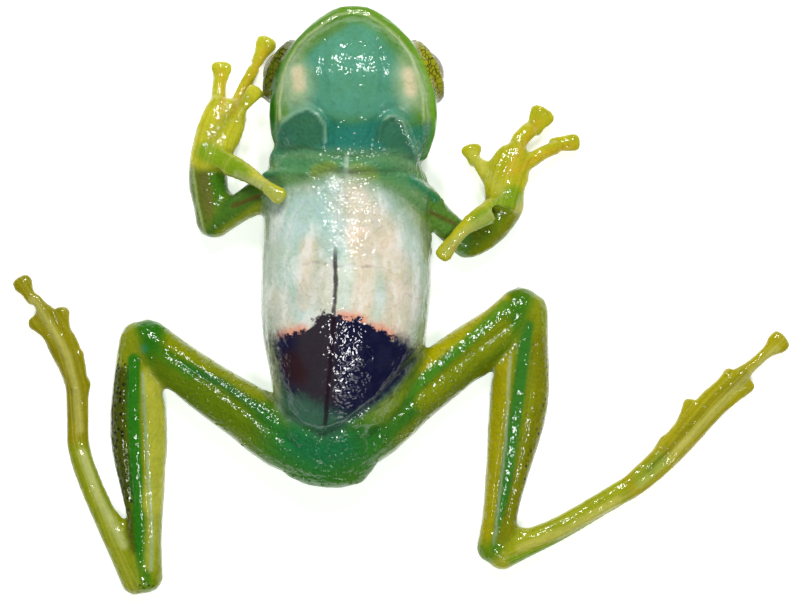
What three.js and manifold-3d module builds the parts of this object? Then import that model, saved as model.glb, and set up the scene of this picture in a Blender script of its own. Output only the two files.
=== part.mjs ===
// A male glass frog at life size, lying limp on its back with its belly up.
// Millimetres. +Z is up (the frog's belly side), +Y runs towards the snout, +X to the frog's left.
// The frog rests on small flats at z = 0. Right and left are the animal's own.
import * as THREE from "three";
import Module from "manifold-3d";

const wasm = await Module();
wasm.setup();

// Head and trunk sizes.
const HEAD_HALF_WIDTH = 4.65;
const SNOUT_Y = 16.05;
const SNOUT_LENGTH = 5.9; // from the snout's tip to the widest place
const HEAD_X = -2.65; // the head's midline
const HEAD_WIDEST_Z = 3.0;
const HEAD_CROWN_DEPTH = 1.9; // below the widest level, to the flat crown
const THROAT_RISE = 2.5; // above the widest level, to the throat
const MOUTH_Z = 3.75; // level of the line of the mouth
const MOUTH_CORNER_Y = 9.7; // the lower jaw ends here
const HEAD_REAR_Y = 7.9;
const HEAD_REAR_TILT = 0.055; // the rear of the head slants back towards the frog's left
const JAW_INSET = 0.16; // the lower jaw stands in by this much all round
const LIP_RADIUS = 0.3;
const NECK_REAR_Y = 7.1;
const CHEST_REAR_Y = 4.4;
const BELLY_REAR_Y = -6.9;

// Eyes, lids and nostrils.
const EYE_RADIUS = 1.38;
const EYE_Y = 12.4;
const EYE_Z = 1.85;
const EYE_SPREAD = 3.52; // from the midline to each eye's centre
const EYE_AXIS = new THREE.Vector3(0.86, 0.4, -0.32).normalize(); // of the eye at +X
const LID_THICKNESS = 0.26;
const LID_OPENING = 0.36; // how far out along the eye's axis the lids reach, in eye radii
const NOSTRIL = { radius: 0.2, spread: 0.9, y: 14.95, z: 1.62 };

// Joints and small parts.
const GAP = 0.3; // between nodes that touch
const DISC_HALF_THICKNESS = 0.3; // of the discs at the tips of fingers and toes
const NAPE_OVERLAP = 0.8; // the throat's form runs this far behind the rear of the head
const LIP_DROP = 0.42; // the lip's bead lies this far below the line of the mouth
const SNAP = 0.005; // grid of the finished corners
const NEEDLE_HEIGHT = 0.003; // a face thinner than this is turned into its neighbour
const NEEDLE_PASSES = 12;
const LIMB_STEPS = 2; // rings from one station to the next along a limb
const DIGIT_SIDES = 8;
const ROUND_END = [0.5 * Math.PI, 0.36 * Math.PI, 0.2 * Math.PI]; // turns of a round end's rings
const SMALL_END = [0.5 * Math.PI, 0.28 * Math.PI];

// Trunk stations, neck to vent: x, y, z of the centre, half width, height above it, depth below it.
const TRUNK = [
  [-2.7, 10.3, 3.6, 2.6, 1.4, 1.2],
  [-2.8, 8.8, 3.0, 3.5, 2.15, 2.4],
  [-3.15, 7.6, 2.9, 4.15, 2.3, 2.7],
  [-3.1, 6.5, 2.8, 4.35, 2.5, 2.85],
  [-3.1, 5.2, 2.8, 4.45, 2.75, 2.9],
  [-3.05, 3.4, 2.8, 4.55, 3.3, 2.95],
  [-3.05, 1.2, 2.8, 4.68, 3.7, 2.95],
  [-3.15, -1.0, 2.8, 4.62, 3.7, 2.95],
  [-3.3, -2.8, 2.7, 4.35, 3.5, 2.85],
  [-3.6, -4.9, 2.6, 3.65, 3.0, 2.7],
  [-3.9, -6.6, 2.4, 2.8, 2.3, 2.45],
  [-4.1, -8.1, 2.2, 2.85, 1.7, 2.1],
  [-4.2, -9.15, 2.0, 2.65, 1.2, 1.6],
];
// The two soft bulges of the throat behind the jaw: x, y, z, half width, height, depth.
const THROAT_BULGES = [
  [[-5.5, 10.3, 4.3, 0.75, 0.55, 0.8], [-5.4, 9.5, 4.3, 1.25, 0.8, 0.8], [-5.5, 8.5, 4.0, 1.0, 0.6, 0.8]],
  [[-0.2, 10.0, 4.3, 0.7, 0.5, 0.8], [-0.3, 9.1, 4.3, 1.2, 0.8, 0.8], [0.1, 8.1, 3.9, 0.9, 0.6, 0.8]],
];

// Arms. Stations as above. The humeral spine of the male lies along the upper arm's front.
const ARMS = {
  right: {
    upper: [
      [-5.6, 6.5, 2.8, 1.2, 1.1, 1.3],
      [-6.5, 6.25, 2.65, 1.15, 1.05, 1.3],
      [-7.7, 5.75, 2.3, 1.0, 0.95, 1.1],
      [-8.9, 5.1, 1.8, 0.82, 0.9, 0.95],
      [-10.35, 4.3, 1.3, 0.92, 0.92, 1.3],
    ],
    spine: [
      [-6.3, 6.75, 3.3, 0.32, 0.3, 0.3],
      [-7.1, 6.6, 3.1, 0.26, 0.26, 0.3],
      [-7.9, 6.35, 2.8, 0.13, 0.13, 0.2],
    ],
    fore: [
      [-10.4, 4.3, 1.3, 1.0, 0.95, 1.3],
      [-10.5, 5.3, 1.25, 1.05, 0.95, 1.2],
      [-10.7, 6.3, 1.25, 1.1, 0.9, 1.1],
      [-10.75, 7.6, 1.35, 1.05, 0.9, 1.0],
    ],
    palm: [
      [-10.75, 7.4, 1.45, 1.05, 0.85, 1.0],
      [-10.5, 8.2, 1.6, 1.15, 0.8, 0.85],
      [-10.15, 9.1, 1.55, 1.27, 0.6, 0.65],
      [-9.85, 9.9, 1.5, 1.27, 0.5, 0.5],
      [-9.6, 10.8, 1.35, 1.1, 0.42, 0.42],
    ],
    wristBulge: [
      [-10.9, 7.4, 2.0, 0.5, 0.35, 0.5],
      [-10.65, 7.9, 2.1, 0.65, 0.45, 0.5],
      [-10.4, 8.4, 2.0, 0.5, 0.35, 0.5],
    ],
    fingers: {
      4: [
        [-10.1, 10.2, 1.35, 0.5, 0.35, 0.35],
        [-10.15, 11.4, 1.05, 0.41, 0.33, 0.33],
        [-10.1, 12.15, 0.8, 0.4, 0.32, 0.32],
      ],
      3: [
        [-9.35, 10.3, 1.25, 0.45, 0.33, 0.33],
        [-8.8, 11.6, 0.95, 0.37, 0.3, 0.3],
        [-8.2, 12.8, 0.8, 0.36, 0.3, 0.3],
      ],
      2: [[-9.2, 9.9, 1.7, 0.4, 0.3, 0.3], [-8.75, 10.75, 1.9, 0.36, 0.3, 0.3]],
      1: [
        [-10.3, 7.8, 2.1, 0.7, 0.5, 0.5],
        [-9.1, 7.25, 2.85, 0.62, 0.42, 0.42],
        [-8.3, 6.8, 3.6, 0.5, 0.36, 0.36],
        [-7.65, 6.35, 4.35, 0.38, 0.32, 0.32],
        [-7.2, 6.05, 4.9, 0.38, 0.3, 0.3],
      ],
    },
    discs: {
      4: { at: [-10.0, 12.75, 0.62], heading: [0.1, 1, 0], half: 0.62, length: 0.42 },
      3: { at: [-7.6, 14.05, 0.55], heading: [0.5, 1, 0], half: 0.62, length: 0.55 },
      2: { at: [-8.2, 11.35, 1.98], heading: [0.8, 1, 0], half: 0.5, length: 0.42 },
      1: { at: [-6.75, 5.7, 5.2], heading: [1, -0.7, 0.3], half: 0.5, length: 0.42 },
    },
    fingerRoots: { 4: 0.9, 3: 0.9, 2: 0.5, 1: 0.75 },
  },
  left: {
    upper: [
      [-1.1, 6.55, 2.8, 1.3, 1.1, 1.3],
      [-0.1, 6.1, 2.75, 1.35, 1.1, 1.3],
      [1.0, 5.3, 2.5, 1.2, 0.95, 1.3],
      [2.2, 4.35, 1.9, 0.8, 0.8, 1.1],
      [3.5, 3.2, 1.3, 0.85, 0.85, 1.25],
    ],
    spine: [
      [0.6, 6.5, 3.2, 0.3, 0.3, 0.3],
      [1.5, 5.9, 2.95, 0.26, 0.26, 0.3],
      [2.3, 5.35, 2.6, 0.13, 0.13, 0.2],
    ],
    fore: [
      [3.6, 3.05, 1.2, 0.85, 0.85, 1.2],
      [4.4, 3.6, 1.15, 1.0, 0.85, 1.15],
      [5.1, 4.35, 1.15, 1.1, 0.8, 1.0],
      [5.9, 5.3, 1.3, 1.0, 0.75, 0.95],
    ],
    palm: [
      [5.85, 5.1, 1.45, 0.95, 0.75, 0.95],
      [5.7, 6.1, 1.6, 1.15, 0.65, 0.8],
      [5.9, 7.1, 1.55, 1.22, 0.55, 0.6],
      [6.3, 8.1, 1.45, 0.9, 0.45, 0.5],
    ],
    wristBulge: [
      [5.6, 4.9, 2.0, 0.5, 0.35, 0.5],
      [5.85, 5.3, 2.05, 0.65, 0.45, 0.5],
      [6.05, 5.8, 2.0, 0.5, 0.35, 0.5],
    ],
    fingers: {
      4: [
        [6.7, 7.4, 1.5, 0.5, 0.36, 0.36],
        [7.8, 8.1, 1.15, 0.41, 0.33, 0.33],
        [8.6, 8.45, 0.85, 0.4, 0.32, 0.32],
      ],
      3: [
        [6.15, 7.75, 1.5, 0.58, 0.36, 0.36],
        [6.57, 8.85, 1.2, 0.52, 0.33, 0.33],
        [7.15, 9.45, 0.9, 0.5, 0.32, 0.32],
      ],
      2: [
        [5.2, 6.2, 1.6, 0.55, 0.36, 0.36],
        [4.6, 7.0, 1.35, 0.38, 0.33, 0.33],
        [4.2, 7.65, 1.05, 0.34, 0.32, 0.32],
      ],
      1: [
        [5.5, 5.2, 2.1, 0.75, 0.5, 0.5],
        [4.5, 4.6, 2.8, 0.64, 0.42, 0.42],
        [3.9, 4.25, 3.1, 0.55, 0.36, 0.36],
        [3.35, 3.8, 3.2, 0.42, 0.32, 0.32],
        [2.85, 3.2, 3.1, 0.4, 0.32, 0.32],
      ],
    },
    discs: {
      4: { at: [9.35, 8.7, 0.6], heading: [1, 0.1, 0], half: 0.52, length: 0.55 },
      3: { at: [7.75, 10.15, 0.6], heading: [0.6, 1, 0], half: 0.78, length: 0.5 },
      2: { at: [3.9, 8.2, 0.8], heading: [-0.25, 1, 0], half: 0.62, length: 0.38 },
      1: { at: [2.4, 2.6, 2.95], heading: [-0.7, -1, -0.1], half: 0.5, length: 0.42 },
    },
    fingerRoots: { 4: 0.9, 3: 0.75, 2: 0.6, 1: 0.8 },
  },
};

// Legs. Stations as above; toes are ridges of the foot, and toe 4 runs free beyond the web.
const LEGS = {
  right: {
    thigh: [
      [-4.3, -8.6, 2.0, 1.7, 1.6, 2.0],
      [-6.5, -7.58, 1.85, 1.82, 1.6, 1.9],
      [-8.6, -6.25, 1.6, 1.6, 1.5, 1.65],
      [-10.9, -4.75, 1.45, 1.44, 1.35, 1.5],
      [-12.7, -3.4, 1.35, 1.3, 1.2, 1.35],
      [-14.2, -2.3, 1.25, 1.3, 1.1, 1.3],
    ],
    shank: [
      [-14.4, -2.2, 1.25, 1.22, 1.0, 1.25],
      [-14.7, -4.3, 1.2, 1.25, 1.05, 1.15],
      [-14.6, -6.0, 1.2, 1.55, 1.1, 1.15],
      [-14.55, -7.7, 1.2, 1.6, 1.1, 1.15],
      [-14.45, -9.4, 1.1, 1.4, 1.0, 1.1],
      [-14.3, -11.3, 1.0, 1.13, 0.9, 1.0],
      [-14.25, -13.2, 0.95, 0.95, 0.8, 0.9],
      [-14.4, -15.45, 1.0, 1.17, 0.85, 1.03],
    ],
    tarsus: [
      [-14.45, -15.45, 1.0, 1.17, 0.8, 1.03],
      [-15.6, -13.7, 0.8, 0.8, 0.62, 0.75],
      [-16.6, -11.8, 0.66, 0.66, 0.55, 0.6],
      [-17.65, -9.3, 0.62, 0.63, 0.5, 0.55],
      [-18.0, -8.0, 0.6, 0.63, 0.46, 0.6],
    ],
    foot: [
      [-18.0, -8.1, 0.6, 0.62, 0.42, 0.55],
      [-18.0, -6.6, 0.55, 0.62, 0.36, 0.5],
      [-18.05, -4.9, 0.5, 0.64, 0.32, 0.45],
      [-18.35, -3.6, 0.48, 0.8, 0.28, 0.42],
      [-18.9, -2.4, 0.46, 0.88, 0.26, 0.4],
      [-19.4, -1.4, 0.44, 0.7, 0.24, 0.4],
    ],
    toes: [
      [
        [-17.75, -6.8, 0.55, 0.2, 0.36, 0.4],
        [-17.55, -5.2, 0.5, 0.2, 0.34, 0.4],
        [-17.5, -4.6, 0.48, 0.24, 0.3, 0.4],
      ],
      [
        [-17.8, -5.6, 0.55, 0.22, 0.4, 0.4],
        [-17.75, -4.0, 0.5, 0.22, 0.36, 0.4],
        [-17.95, -3.0, 0.48, 0.3, 0.32, 0.4],
      ],
      [
        [-18.0, -5.0, 0.6, 0.24, 0.4, 0.4],
        [-18.35, -3.0, 0.5, 0.26, 0.38, 0.36],
        [-18.8, -1.4, 0.45, 0.36, 0.34, 0.36],
        [-18.95, -0.7, 0.42, 0.52, 0.3, 0.4],
      ],
      [
        [-18.3, -5.0, 0.6, 0.24, 0.4, 0.4],
        [-19.0, -3.0, 0.5, 0.26, 0.36, 0.4],
        [-19.8, -1.85, 0.45, 0.32, 0.32, 0.4],
        [-20.45, -1.25, 0.4, 0.44, 0.28, 0.4],
      ],
    ],
    toe4: [
      [-18.1, -4.8, 0.62, 0.26, 0.42, 0.4],
      [-18.7, -2.9, 0.6, 0.28, 0.42, 0.42],
      [-19.35, -1.6, 0.58, 0.32, 0.38, 0.45],
      [-19.9, -0.6, 0.52, 0.33, 0.33, 0.45],
      [-20.35, 0.05, 0.46, 0.31, 0.3, 0.4],
    ],
    toe4Root: 3.9,
    toe4Disc: { at: [-21.0, 0.75, 0.42], heading: [-0.55, 1, 0], half: 0.58, length: 0.52 },
  },
  left: {
    thigh: [
      [-3.5, -8.4, 2.0, 1.7, 1.6, 2.0],
      [-1.5, -7.05, 1.85, 1.78, 1.6, 1.9],
      [0.5, -5.4, 1.6, 1.6, 1.5, 1.65],
      [2.2, -4.05, 1.5, 1.56, 1.4, 1.5],
      [4.0, -2.7, 1.45, 1.46, 1.3, 1.45],
      [5.5, -1.65, 1.35, 1.36, 1.15, 1.35],
      [6.75, -0.52, 1.25, 1.32, 1.1, 1.3],
    ],
    shank: [
      [6.9, -0.55, 1.25, 1.24, 1.0, 1.25],
      [6.75, -2.6, 1.2, 1.4, 1.05, 1.15],
      [6.6, -4.3, 1.2, 1.62, 1.1, 1.15],
      [6.5, -5.8, 1.2, 1.64, 1.1, 1.15],
      [6.2, -7.7, 1.15, 1.46, 1.0, 1.1],
      [5.8, -9.9, 1.05, 1.16, 0.9, 1.0],
      [5.45, -12.1, 0.95, 0.97, 0.8, 0.9],
      [5.35, -13.85, 1.0, 1.22, 0.85, 1.03],
    ],
    tarsus: [
      [5.45, -13.9, 1.0, 1.17, 0.8, 1.03],
      [7.4, -13.35, 0.8, 0.74, 0.62, 0.75],
      [9.2, -12.5, 0.66, 0.66, 0.55, 0.6],
      [10.9, -11.5, 0.62, 0.64, 0.5, 0.55],
      [12.6, -10.5, 0.6, 0.66, 0.46, 0.6],
    ],
    foot: [
      [12.5, -10.6, 0.6, 0.64, 0.42, 0.55],
      [13.4, -9.9, 0.56, 0.72, 0.36, 0.5],
      [14.8, -8.6, 0.52, 0.78, 0.32, 0.45],
      [15.9, -7.35, 0.5, 0.86, 0.28, 0.42],
      [17.45, -5.65, 0.46, 0.86, 0.26, 0.4],
      [18.5, -4.6, 0.44, 0.66, 0.24, 0.4],
    ],
    toes: [
      [
        [13.3, -9.6, 0.55, 0.22, 0.36, 0.4],
        [14.2, -8.4, 0.5, 0.22, 0.34, 0.4],
        [14.65, -7.75, 0.48, 0.26, 0.3, 0.4],
      ],
      [
        [13.9, -9.2, 0.58, 0.22, 0.4, 0.4],
        [15.2, -7.4, 0.52, 0.22, 0.36, 0.4],
        [15.75, -6.4, 0.48, 0.28, 0.32, 0.4],
        [16.05, -5.8, 0.44, 0.42, 0.3, 0.38],
      ],
      [
        [14.6, -8.8, 0.6, 0.24, 0.4, 0.4],
        [16.4, -6.4, 0.52, 0.26, 0.38, 0.4],
        [17.7, -4.8, 0.46, 0.3, 0.34, 0.4],
        [18.3, -4.15, 0.42, 0.42, 0.3, 0.4],
      ],
      [
        [15.0, -9.0, 0.6, 0.24, 0.4, 0.4],
        [17.0, -6.8, 0.5, 0.26, 0.36, 0.4],
        [18.5, -5.5, 0.44, 0.3, 0.32, 0.4],
        [19.35, -4.8, 0.4, 0.38, 0.28, 0.38],
      ],
    ],
    toe4: [
      [15.2, -8.5, 0.62, 0.26, 0.42, 0.4],
      [16.8, -6.5, 0.6, 0.28, 0.42, 0.42],
      [18.4, -4.75, 0.58, 0.34, 0.38, 0.45],
      [19.4, -3.75, 0.52, 0.34, 0.33, 0.45],
      [20.0, -3.25, 0.46, 0.33, 0.3, 0.4],
    ],
    toe4Root: 5.3,
    toe4Disc: { at: [20.85, -2.5, 0.42], heading: [1, 0.85, 0], half: 0.66, length: 0.62 },
  },
};

const MATERIALS = {
  green_skin: { color: 0x5a9a3a, roughness: 0.3, metalness: 0 },
  throat_skin: { color: 0x5f9f86, roughness: 0.25, metalness: 0 },
  belly_skin: { color: 0xb9cfc4, roughness: 0.25, metalness: 0 },
  yellow_skin: { color: 0xc2b83c, roughness: 0.3, metalness: 0 },
  eye: { color: 0x7a7312, roughness: 0.1, metalness: 0 },
};

// The half turn of a ring's corner: a rounded corner for power above 2, an ellipse at 2.
function rounded(value, power) {
  return Math.sign(value) * Math.abs(value) ** (2 / power);
}

// A closed form through stations, with a round end at both ends.
// grow widens it on all sides, for the clearance that a neighbour keeps.
function loft(stations, shape = {}) {
  const { sides = 12, steps = LIMB_STEPS, blunt = 0.9, power = 2, grow = 0, end = ROUND_END } = shape;
  const centres = new THREE.CatmullRomCurve3(stations.map(([x, y, z]) => new THREE.Vector3(x, y, z)));
  const sizes = new THREE.CatmullRomCurve3(stations.map((s) => new THREE.Vector3(s[3], s[4], s[5])));
  const rings = [];
  const spans = (stations.length - 1) * steps;
  for (let i = 0; i <= spans; i++) {
    const size = sizes.getPoint(i / spans).addScalar(grow);
    rings.push({ at: centres.getPoint(i / spans), along: centres.getTangent(i / spans), size });
  }
  const capped = [...cap(rings[0], -blunt, end), ...rings, ...cap(rings.at(-1), blunt, end).reverse()];
  return ringSolid(capped, sides, power);
}

// Shrinking rings that round an end off; the first one returned is the tip.
function cap(ring, blunt, end) {
  const made = [];
  for (const angle of end) {
    const reach = blunt * Math.sin(angle) * Math.min(ring.size.x, (ring.size.y + ring.size.z) / 2);
    const at = ring.at.clone().addScaledVector(ring.along, reach);
    made.push({ at, along: ring.along, size: ring.size.clone().multiplyScalar(Math.cos(angle)) });
  }
  return made;
}

// Joins rings into one closed solid; the first and the last ring are single points.
function ringSolid(rings, sides, power) {
  const points = [];
  const faces = [];
  const last = rings.length - 1;
  rings.forEach((ring, i) => {
    if (i === 0 || i === last) {
      points.push(ring.at);
      return;
    }
    const side = new THREE.Vector3().crossVectors(ring.along, new THREE.Vector3(0, 0, 1)).normalize();
    const up = new THREE.Vector3().crossVectors(side, ring.along).normalize();
    for (let j = 0; j < sides; j++) {
      const turn = (2 * Math.PI * j) / sides;
      const across = rounded(Math.cos(turn), power) * ring.size.x;
      const above = rounded(Math.sin(turn), power);
      const height = above * (above > 0 ? ring.size.y : ring.size.z);
      points.push(ring.at.clone().addScaledVector(side, across).addScaledVector(up, height));
    }
  });
  const corner = (i, j) => (i === 0 ? 0 : 1 + (i - 1) * sides + (j % sides));
  const end = points.length - 1;
  for (let j = 0; j < sides; j++) {
    faces.push([0, corner(1, j), corner(1, j + 1)]);
    for (let i = 1; i < last - 1; i++) {
      faces.push([corner(i, j), corner(i + 1, j), corner(i, j + 1)]);
      faces.push([corner(i, j + 1), corner(i + 1, j), corner(i + 1, j + 1)]);
    }
    faces.push([corner(last - 1, j), end, corner(last - 1, j + 1)]);
  }
  return closedSolid(points, faces);
}

function closedSolid(points, faces) {
  const vertProperties = new Float32Array(points.flatMap((p) => [p.x, p.y, p.z]));
  const triVerts = new Uint32Array(faces.flat());
  return new wasm.Manifold(new wasm.Mesh({ numProp: 3, vertProperties, triVerts }));
}

function ball(centre, radius, sides = 16) {
  const stations = [];
  const turns = sides / 2;
  for (let i = 0; i <= turns; i++) {
    const angle = (Math.PI * i) / turns;
    const size = radius * Math.sin(angle);
    stations.push({
      at: centre.clone().add(new THREE.Vector3(0, -radius * Math.cos(angle), 0)),
      along: new THREE.Vector3(0, 1, 0),
      size: new THREE.Vector3(size, size, size),
    });
  }
  return ringSolid(stations, sides, 2);
}

// A large block whose one face passes through a point; all of it lies ahead of that face.
function ahead(point, direction, shift = 0) {
  const size = 80;
  const block = new THREE.BoxGeometry(size, size, size);
  block.translate(0, 0, size / 2);
  const way = direction.clone().normalize();
  block.applyQuaternion(new THREE.Quaternion().setFromUnitVectors(new THREE.Vector3(0, 0, 1), way));
  const start = point.clone().addScaledVector(way, shift);
  block.translate(start.x, start.y, start.z);
  const corners = [];
  const known = new Map();
  const cornerOf = [];
  const places = block.getAttribute("position");
  for (let i = 0; i < places.count; i++) {
    const place = new THREE.Vector3().fromBufferAttribute(places, i);
    const key = place.toArray().map((value) => value.toFixed(3)).join(" ");
    if (!known.has(key)) {
      known.set(key, corners.length);
      corners.push(place);
    }
    cornerOf.push(known.get(key));
  }
  const faces = [];
  for (let i = 0; i < block.index.count; i += 3) {
    faces.push([0, 1, 2].map((k) => cornerOf[block.index.getX(i + k)]));
  }
  return closedSolid(corners, faces);
}

const vector = ([x, y, z]) => new THREE.Vector3(x, y, z);
const below = (z) => ahead(new THREE.Vector3(0, 0, z), new THREE.Vector3(0, 0, -1));
const above = (z) => ahead(new THREE.Vector3(0, 0, z), new THREE.Vector3(0, 0, 1));
const forward = (y, tilt = 0) => ahead(new THREE.Vector3(HEAD_X, y, 0), new THREE.Vector3(tilt, 1, 0));
const rearward = (y, tilt = 0) => ahead(new THREE.Vector3(HEAD_X, y, 0), new THREE.Vector3(-tilt, -1, 0));
const union = (solids) => solids.reduce((whole, piece) => whole.add(piece));

// The two sides of a cut across a solid, with the gap between them.
function parted(solid, point, direction) {
  return {
    near: solid.intersect(ahead(point, direction.clone().negate(), GAP / 2)),
    far: solid.intersect(ahead(point, direction, GAP / 2)),
  };
}

// The plane across a bend between two limbs that share a joint.
function bend(before, joint, after) {
  const inward = joint.clone().sub(before).normalize();
  const outward = after.clone().sub(joint).normalize();
  return inward.add(outward).normalize();
}

// Nodes

const nodes = new Map();

function addNode(name, solid, material) {
  const floored = solid.subtract(below(0));
  const bodies = floored.decompose().sort((a, b) => b.volume() - a.volume());
  nodes.set(name, { solid: bodies[0], material });
}

// Head, jaw and trunk

// Half the head's width at a distance behind the snout's tip.
function headHalfWidth(distance) {
  if (distance >= SNOUT_LENGTH) {
    const back = (distance - SNOUT_LENGTH) / (SNOUT_Y - HEAD_REAR_Y - SNOUT_LENGTH);
    return HEAD_HALF_WIDTH * (1 - 0.12 * back ** 2.2);
  }
  return HEAD_HALF_WIDTH * (1 - (1 - distance / SNOUT_LENGTH) ** 2) ** 0.58;
}

// The whole head, snout to nape. inset draws its sides in, for the lower jaw.
function headForm(inset, grow = 0) {
  const rings = [];
  const places = [0, 0.06, 0.25, 0.6, 1.1, 1.8, 2.7, 3.7, 4.8, 5.9, 6.9, 7.8, 8.6, 9.3, 9.9];
  for (const distance of places) {
    const reach = distance / places.at(-1);
    const rise = Math.min(1, (distance / 3.2) ** 0.55);
    const closing = distance > 9.8 ? 0 : 1;
    rings.push({
      at: new THREE.Vector3(HEAD_X, SNOUT_Y + grow - inset - distance, HEAD_WIDEST_Z + 0.1 * (1 - reach)),
      along: new THREE.Vector3(0, -1, 0),
      size: new THREE.Vector3(
        closing * Math.max(0, headHalfWidth(distance) - inset + grow),
        closing * (THROAT_RISE * rise + grow),
        closing * (HEAD_CROWN_DEPTH * Math.min(1, (distance / 2.2) ** 0.5) + grow),
      ),
    });
  }
  rings[0].size.set(0, 0, 0);
  return ringSolid(rings, 28, 2.35);
}

const eyeAt = (side) => new THREE.Vector3(HEAD_X + side * EYE_SPREAD, EYE_Y, EYE_Z);
const eyeAxis = (side) => new THREE.Vector3(side * EYE_AXIS.x, EYE_AXIS.y, EYE_AXIS.z);

// The rim of both lids: a shell round the eye, open towards where the eye looks.
function lids(side) {
  const shell = ball(eyeAt(side), EYE_RADIUS + GAP + LID_THICKNESS);
  const rimPlace = eyeAt(side).addScaledVector(eyeAxis(side), LID_OPENING * EYE_RADIUS);
  return shell.intersect(ahead(rimPlace, eyeAxis(side).negate()));
}

function buildHead() {
  const whole = headForm(0);
  const lip = lipBead();
  let head = whole
    .add(lip)
    .subtract(above(MOUTH_Z - GAP / 2))
    .intersect(forward(HEAD_REAR_Y + GAP / 2, HEAD_REAR_TILT));
  for (const side of [-1, 1]) {
    head = head.add(lids(side).subtract(above(MOUTH_Z - GAP / 2)));
  }
  for (const side of [-1, 1]) {
    head = head.subtract(ball(eyeAt(side), EYE_RADIUS + GAP));
    head = head.subtract(nostril(side));
  }
  const jaw = headForm(JAW_INSET)
    .intersect(above(MOUTH_Z + GAP / 2))
    .intersect(forward(MOUTH_CORNER_Y + GAP / 2));
  addNode("head", head, "green_skin");
  addNode("lower_jaw", jaw, "throat_skin");
  addNode("eye_right", ball(eyeAt(-1), EYE_RADIUS), "eye");
  addNode("eye_left", ball(eyeAt(1), EYE_RADIUS), "eye");
}

// The upper lip: a thin bead round the mouth, just below its line.
function lipBead() {
  const stations = [];
  const level = MOUTH_Z - LIP_DROP;
  const places = [6.3, 4.8, 3.4, 2.2, 1.2, 0.5, 0.14];
  for (const side of [-1, 1]) {
    const ordered = side < 0 ? places : [...places].reverse();
    for (const distance of ordered) {
      const x = HEAD_X + side * (headHalfWidth(distance) * 0.955 - 0.16);
      stations.push([x, SNOUT_Y - distance - 0.1, level, LIP_RADIUS, LIP_RADIUS * 0.9, LIP_RADIUS * 0.9]);
    }
  }
  return loft(stations, { sides: 8 });
}

function nostril(side) {
  const at = new THREE.Vector3(HEAD_X + side * NOSTRIL.spread, NOSTRIL.y, NOSTRIL.z);
  return ball(at, NOSTRIL.radius, 8);
}

// The trunk without its limbs, and wider by grow for what keeps clear of it.
const trunkForm = (grow = 0) => loft(TRUNK, { sides: 28, power: 2.15, grow });

// Where each thigh leaves the pelvis, and the way it leaves.
const HIPS = {
  right: { at: new THREE.Vector3(-5.3, -8.0, 2), out: new THREE.Vector3(-0.86, 0.5, 0) },
  left: { at: new THREE.Vector3(-2.5, -7.6, 2), out: new THREE.Vector3(0.8, 0.6, 0) },
};

const thighForm = (side) => loft(LEGS[side].thigh, { sides: 14, power: 2.1 });

function buildTrunk() {
  const trunk = trunkForm();
  const bulges = union(THROAT_BULGES.map((stations) => loft(stations, { end: SMALL_END })));
  const headPlace = above(MOUTH_Z + GAP / 2).add(rearward(HEAD_REAR_Y - GAP / 2, HEAD_REAR_TILT));
  const throat = headForm(JAW_INSET).intersect(forward(HEAD_REAR_Y - NAPE_OVERLAP));
  const neck = union([trunk, bulges, throat])
    .intersect(rearward(MOUTH_CORNER_Y - GAP / 2))
    .intersect(forward(NECK_REAR_Y + GAP / 2))
    .intersect(headPlace);
  addNode("neck", neck, "throat_skin");

  const chest = trunk.intersect(rearward(NECK_REAR_Y - GAP / 2)).intersect(forward(CHEST_REAR_Y + GAP / 2));
  addNode("chest", chest, "green_skin");

  const belly = trunk.intersect(rearward(CHEST_REAR_Y - GAP / 2)).intersect(forward(BELLY_REAR_Y + GAP / 2));
  addNode("belly", belly, "belly_skin");

  const hindForms = [trunk, thighForm("right"), thighForm("left")];
  let pelvis = union(hindForms).intersect(rearward(BELLY_REAR_Y - GAP / 2));
  for (const hip of Object.values(HIPS)) {
    pelvis = pelvis.subtract(ahead(hip.at, hip.out, -GAP / 2));
  }
  addNode("pelvis", pelvis, "green_skin");
}

// Limbs

// A flared disc at a digit's tip: broad, blunt in front and flat.
function disc({ at, heading, half, length }, neckHalf) {
  const centre = vector(at);
  const way = vector(heading).normalize();
  const thick = DISC_HALF_THICKNESS;
  const shape = [
    [-1.9 * length, neckHalf * 0.95, thick],
    [-0.9 * length, neckHalf * 1.1, thick],
    [0, half * 0.95, thick],
    [0.55 * length, half, thick * 0.95],
    [0.85 * length, half * 0.82, thick * 0.85],
  ];
  const stations = shape.map(([along, width, high]) => {
    const p = centre.clone().addScaledVector(way, along);
    return [p.x, p.y, p.z, width, high, high];
  });
  return loft(stations, { sides: 10, steps: 1, blunt: 0.5, power: 2.3, end: SMALL_END });
}

// A point at a distance along a digit's centre line, and the way the digit runs there.
function placeAlong(stations, distance) {
  const line = new THREE.CatmullRomCurve3(stations.map(vector));
  const share = distance / line.getLength();
  return { at: line.getPointAt(share), along: line.getTangentAt(share) };
}

// A digit with its disc, parted across at its root: its free part, the root that stays on the
// hand or foot, and the room that its free part needs there.
function digit(stations, tip, rootDistance) {
  const shape = { sides: DIGIT_SIDES, end: SMALL_END };
  const whole = loft(stations, shape).add(disc(tip, stations.at(-1)[3]));
  const root = placeAlong(stations, rootDistance);
  const { near, far } = parted(whole, root.at, root.along);
  const room = loft(stations, { ...shape, grow: GAP }).intersect(ahead(root.at, root.along, -GAP / 2));
  return { near, far, room };
}

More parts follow.
